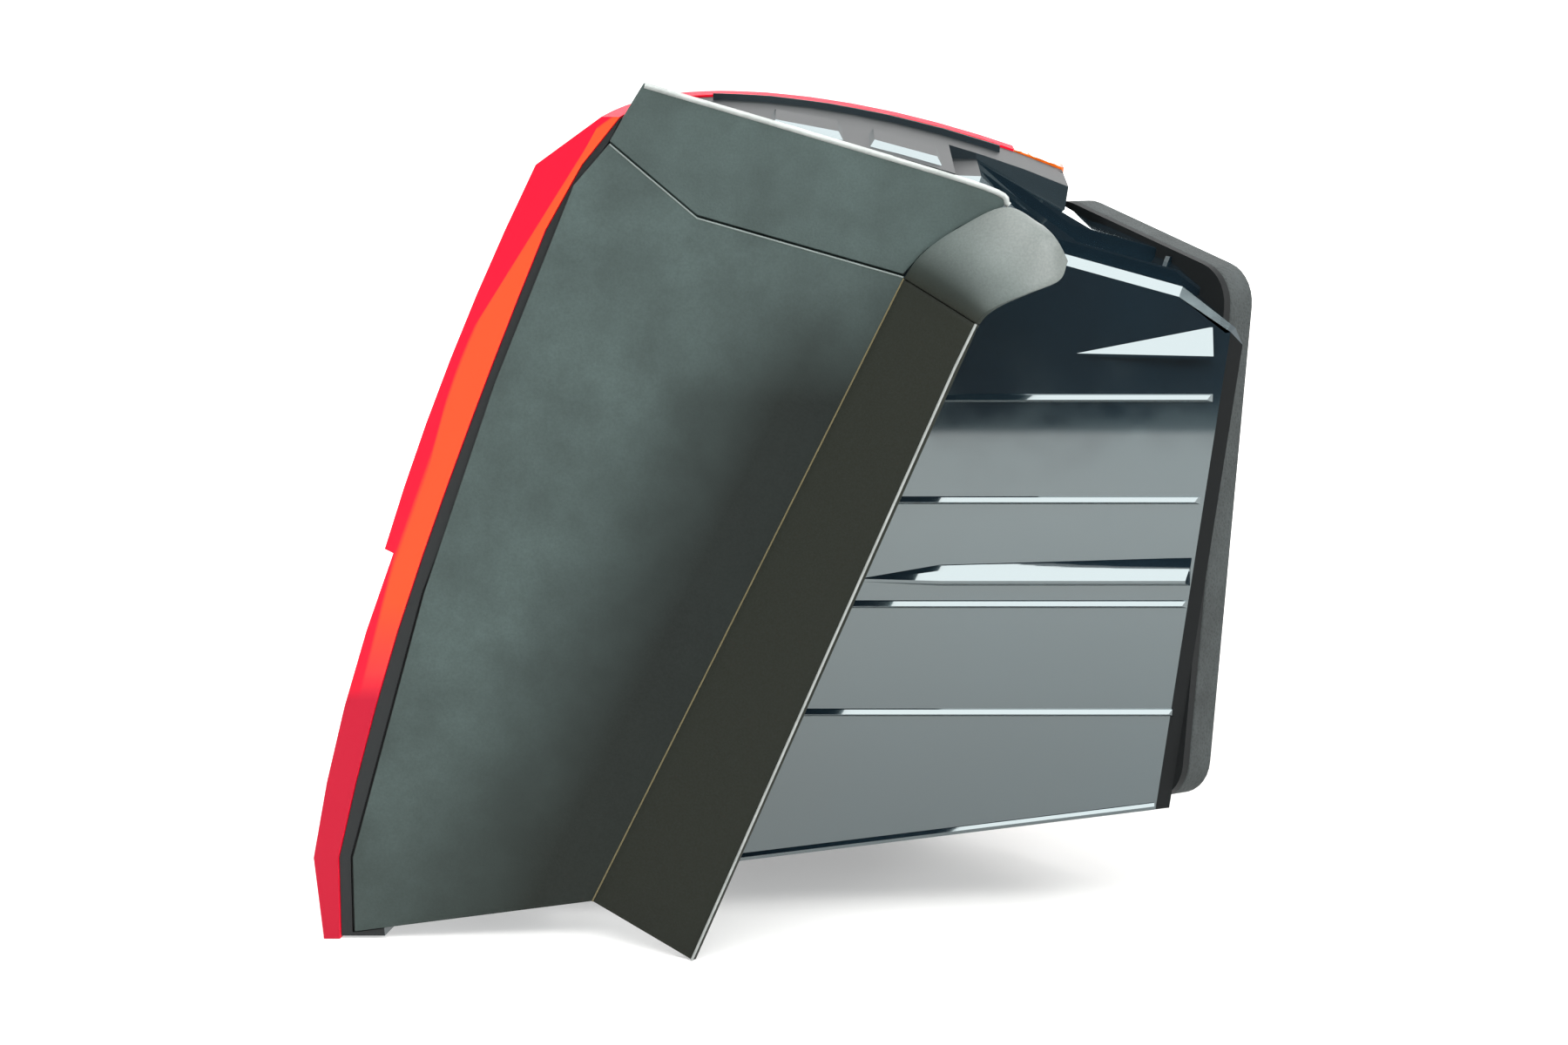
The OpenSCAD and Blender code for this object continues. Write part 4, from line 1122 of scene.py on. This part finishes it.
# Power in watts, size, and place from the target
SOFTBOXES = (
    ("overhead_softbox", 15, (1.1, 0.8), (0.1, -0.24, 1.28)),
    ("key_softbox", 22, (0.8, 0.8), (1.25, -0.6, 0.75)),
    ("front_strip", 15, (1.7, 0.5), (-0.12, -0.83, 0.93)),
    ("rear_strip", 4, (2.0, 0.35), (0.35, 1.5, 0.30)),
    ("rear_softbox", 5, (1.0, 1.0), (-0.7, 1.3, 0.8)),
    ("roof_softbox", 5, (1.5, 0.38), (0.15, 0.92, 0.95)))


def area_light(name, power, size, at, aim):
    """A softbox: a rectangular lamp at one point that faces another."""
    lamp = bpy.data.lights.new(name, "AREA")
    lamp.energy = power
    lamp.shape = "RECTANGLE"
    lamp.size, lamp.size_y = size
    made = bpy.data.objects.new(name, lamp)
    made.location = at
    made.rotation_euler = (aim - at).to_track_quat("-Z", "Y").to_euler()
    bpy.context.scene.collection.objects.link(made)


def sheet(name, corners, material):
    """A flat stage piece through four corners."""
    mesh = bpy.data.meshes.new(name)
    mesh.from_pydata(corners, [], [(0, 1, 2, 3)])
    mesh.materials.append(material)
    link_mesh(name, mesh)


def white_studio(fill):
    """A world that lights evenly at the given strength and looks white."""
    world = bpy.data.worlds.new("white_studio")
    world.use_nodes = True
    tree = world.node_tree
    tree.nodes.clear()
    strength = add_node(tree, "ShaderNodeMapRange",
                        {"Value": background_rays(tree), "To Min": fill, "To Max": 1.0})
    back = add_node(tree, "ShaderNodeBackground", {"Color": (1, 1, 1, 1), "Strength": strength})
    add_node(tree, "ShaderNodeOutputWorld", {"Surface": back})
    return world


class LAMP_OT_studio(bpy.types.Operator):
    """Sets up the floor, the softboxes, the white surroundings and the camera"""
    bl_idname = "lamp.studio"
    bl_label = "Studio"

    def execute(self, context):
        p = context.scene.lamp_studio
        scene = context.scene
        scene.view_settings.view_transform = "Standard"
        self.lay_sheets(DATUM.z - 0.2 * MM)
        centre = place(*TARGET)
        for name, power, size, at in SOFTBOXES:
            area_light(name, power, size, centre + Vector(at), centre)
        scene.world = white_studio(p.fill)
        lens = bpy.data.cameras.new("product_camera")
        lens.lens = p.focal
        lens.sensor_width = 36
        lens.clip_start, lens.clip_end = 0.05, 30
        camera = bpy.data.objects.new("product_camera", lens)
        back_off = Vector((0, -math.cos(p.elevation), math.sin(p.elevation)))
        camera.location = centre + back_off * p.distance
        camera.rotation_mode = "QUATERNION"
        camera.rotation_quaternion = (-back_off).to_track_quat("-Z", "Y")
        scene.collection.objects.link(camera)
        scene.camera = camera
        return {"FINISHED"}

    def lay_sheets(self, ground):
        """Lays the floor and, just above it, the black card, and stands the black flag behind the camera."""
        reach, card = FLOOR_REACH, black_card()
        near, far = DATUM.y - CARD_NEAR, DATUM.y - CARD_FAR
        left, right = -CARD_HALF, CARD_HALF
        low, high = ground + 2 * MM, ground + 4 * MM
        sheet("floor", [(-reach, -reach, ground), (reach, -reach, ground), (reach, reach, ground),
                        (-reach, reach, ground)], painted_floor())
        sheet("black_card", [(left, far, low), (right, far, low), (right, near, low), (left, near, low)],
              card)
        sheet("black_flag", [(left, far, high), (right, far, high), (right, far, FLAG_TOP),
                             (left, far, FLAG_TOP)], card)


class LAMP_PT_panel(bpy.types.Panel):
    """Lists the settings and the operators in the sidebar"""
    bl_label = "Rear lamp"
    bl_idname = "LAMP_PT_panel"
    bl_space_type = "VIEW_3D"
    bl_region_type = "UI"
    bl_category = "Rear lamp"

    def draw(self, context):
        layout = self.layout
        for name, group in SETTINGS.items():
            box = layout.box()
            box.label(text=name.replace("lamp_", "").title())
            for key in group.__annotations__:
                box.prop(getattr(context.scene, name), key)
        for operator in OPERATORS:
            layout.operator(operator.bl_idname)


SETTINGS = {
    "lamp_lens": LensSettings,
    "lamp_housing": HousingSettings,
    "lamp_cover": CoverSettings,
    "lamp_gasket": GasketSettings,
    "lamp_studio": StudioSettings,
}
OPERATORS = [LAMP_OT_studio, LAMP_OT_side_cover, LAMP_OT_lens, LAMP_OT_housing, LAMP_OT_gasket,
             LAMP_OT_lamp_inside, LAMP_OT_fixings]
CLASSES = (*SETTINGS.values(), *OPERATORS, LAMP_PT_panel)


def register():
    for cls in CLASSES:
        bpy.utils.register_class(cls)
    for name, group in SETTINGS.items():
        setattr(bpy.types.Scene, name, bpy.props.PointerProperty(type=group))


def unregister():
    for name in SETTINGS:
        delattr(bpy.types.Scene, name)
    for cls in reversed(CLASSES):
        bpy.utils.unregister_class(cls)


def main():
    register()
    for operator in OPERATORS:
        group, call = operator.bl_idname.split(".")
        getattr(getattr(bpy.ops, group), call)()


if __name__ == "__main__":
    main()
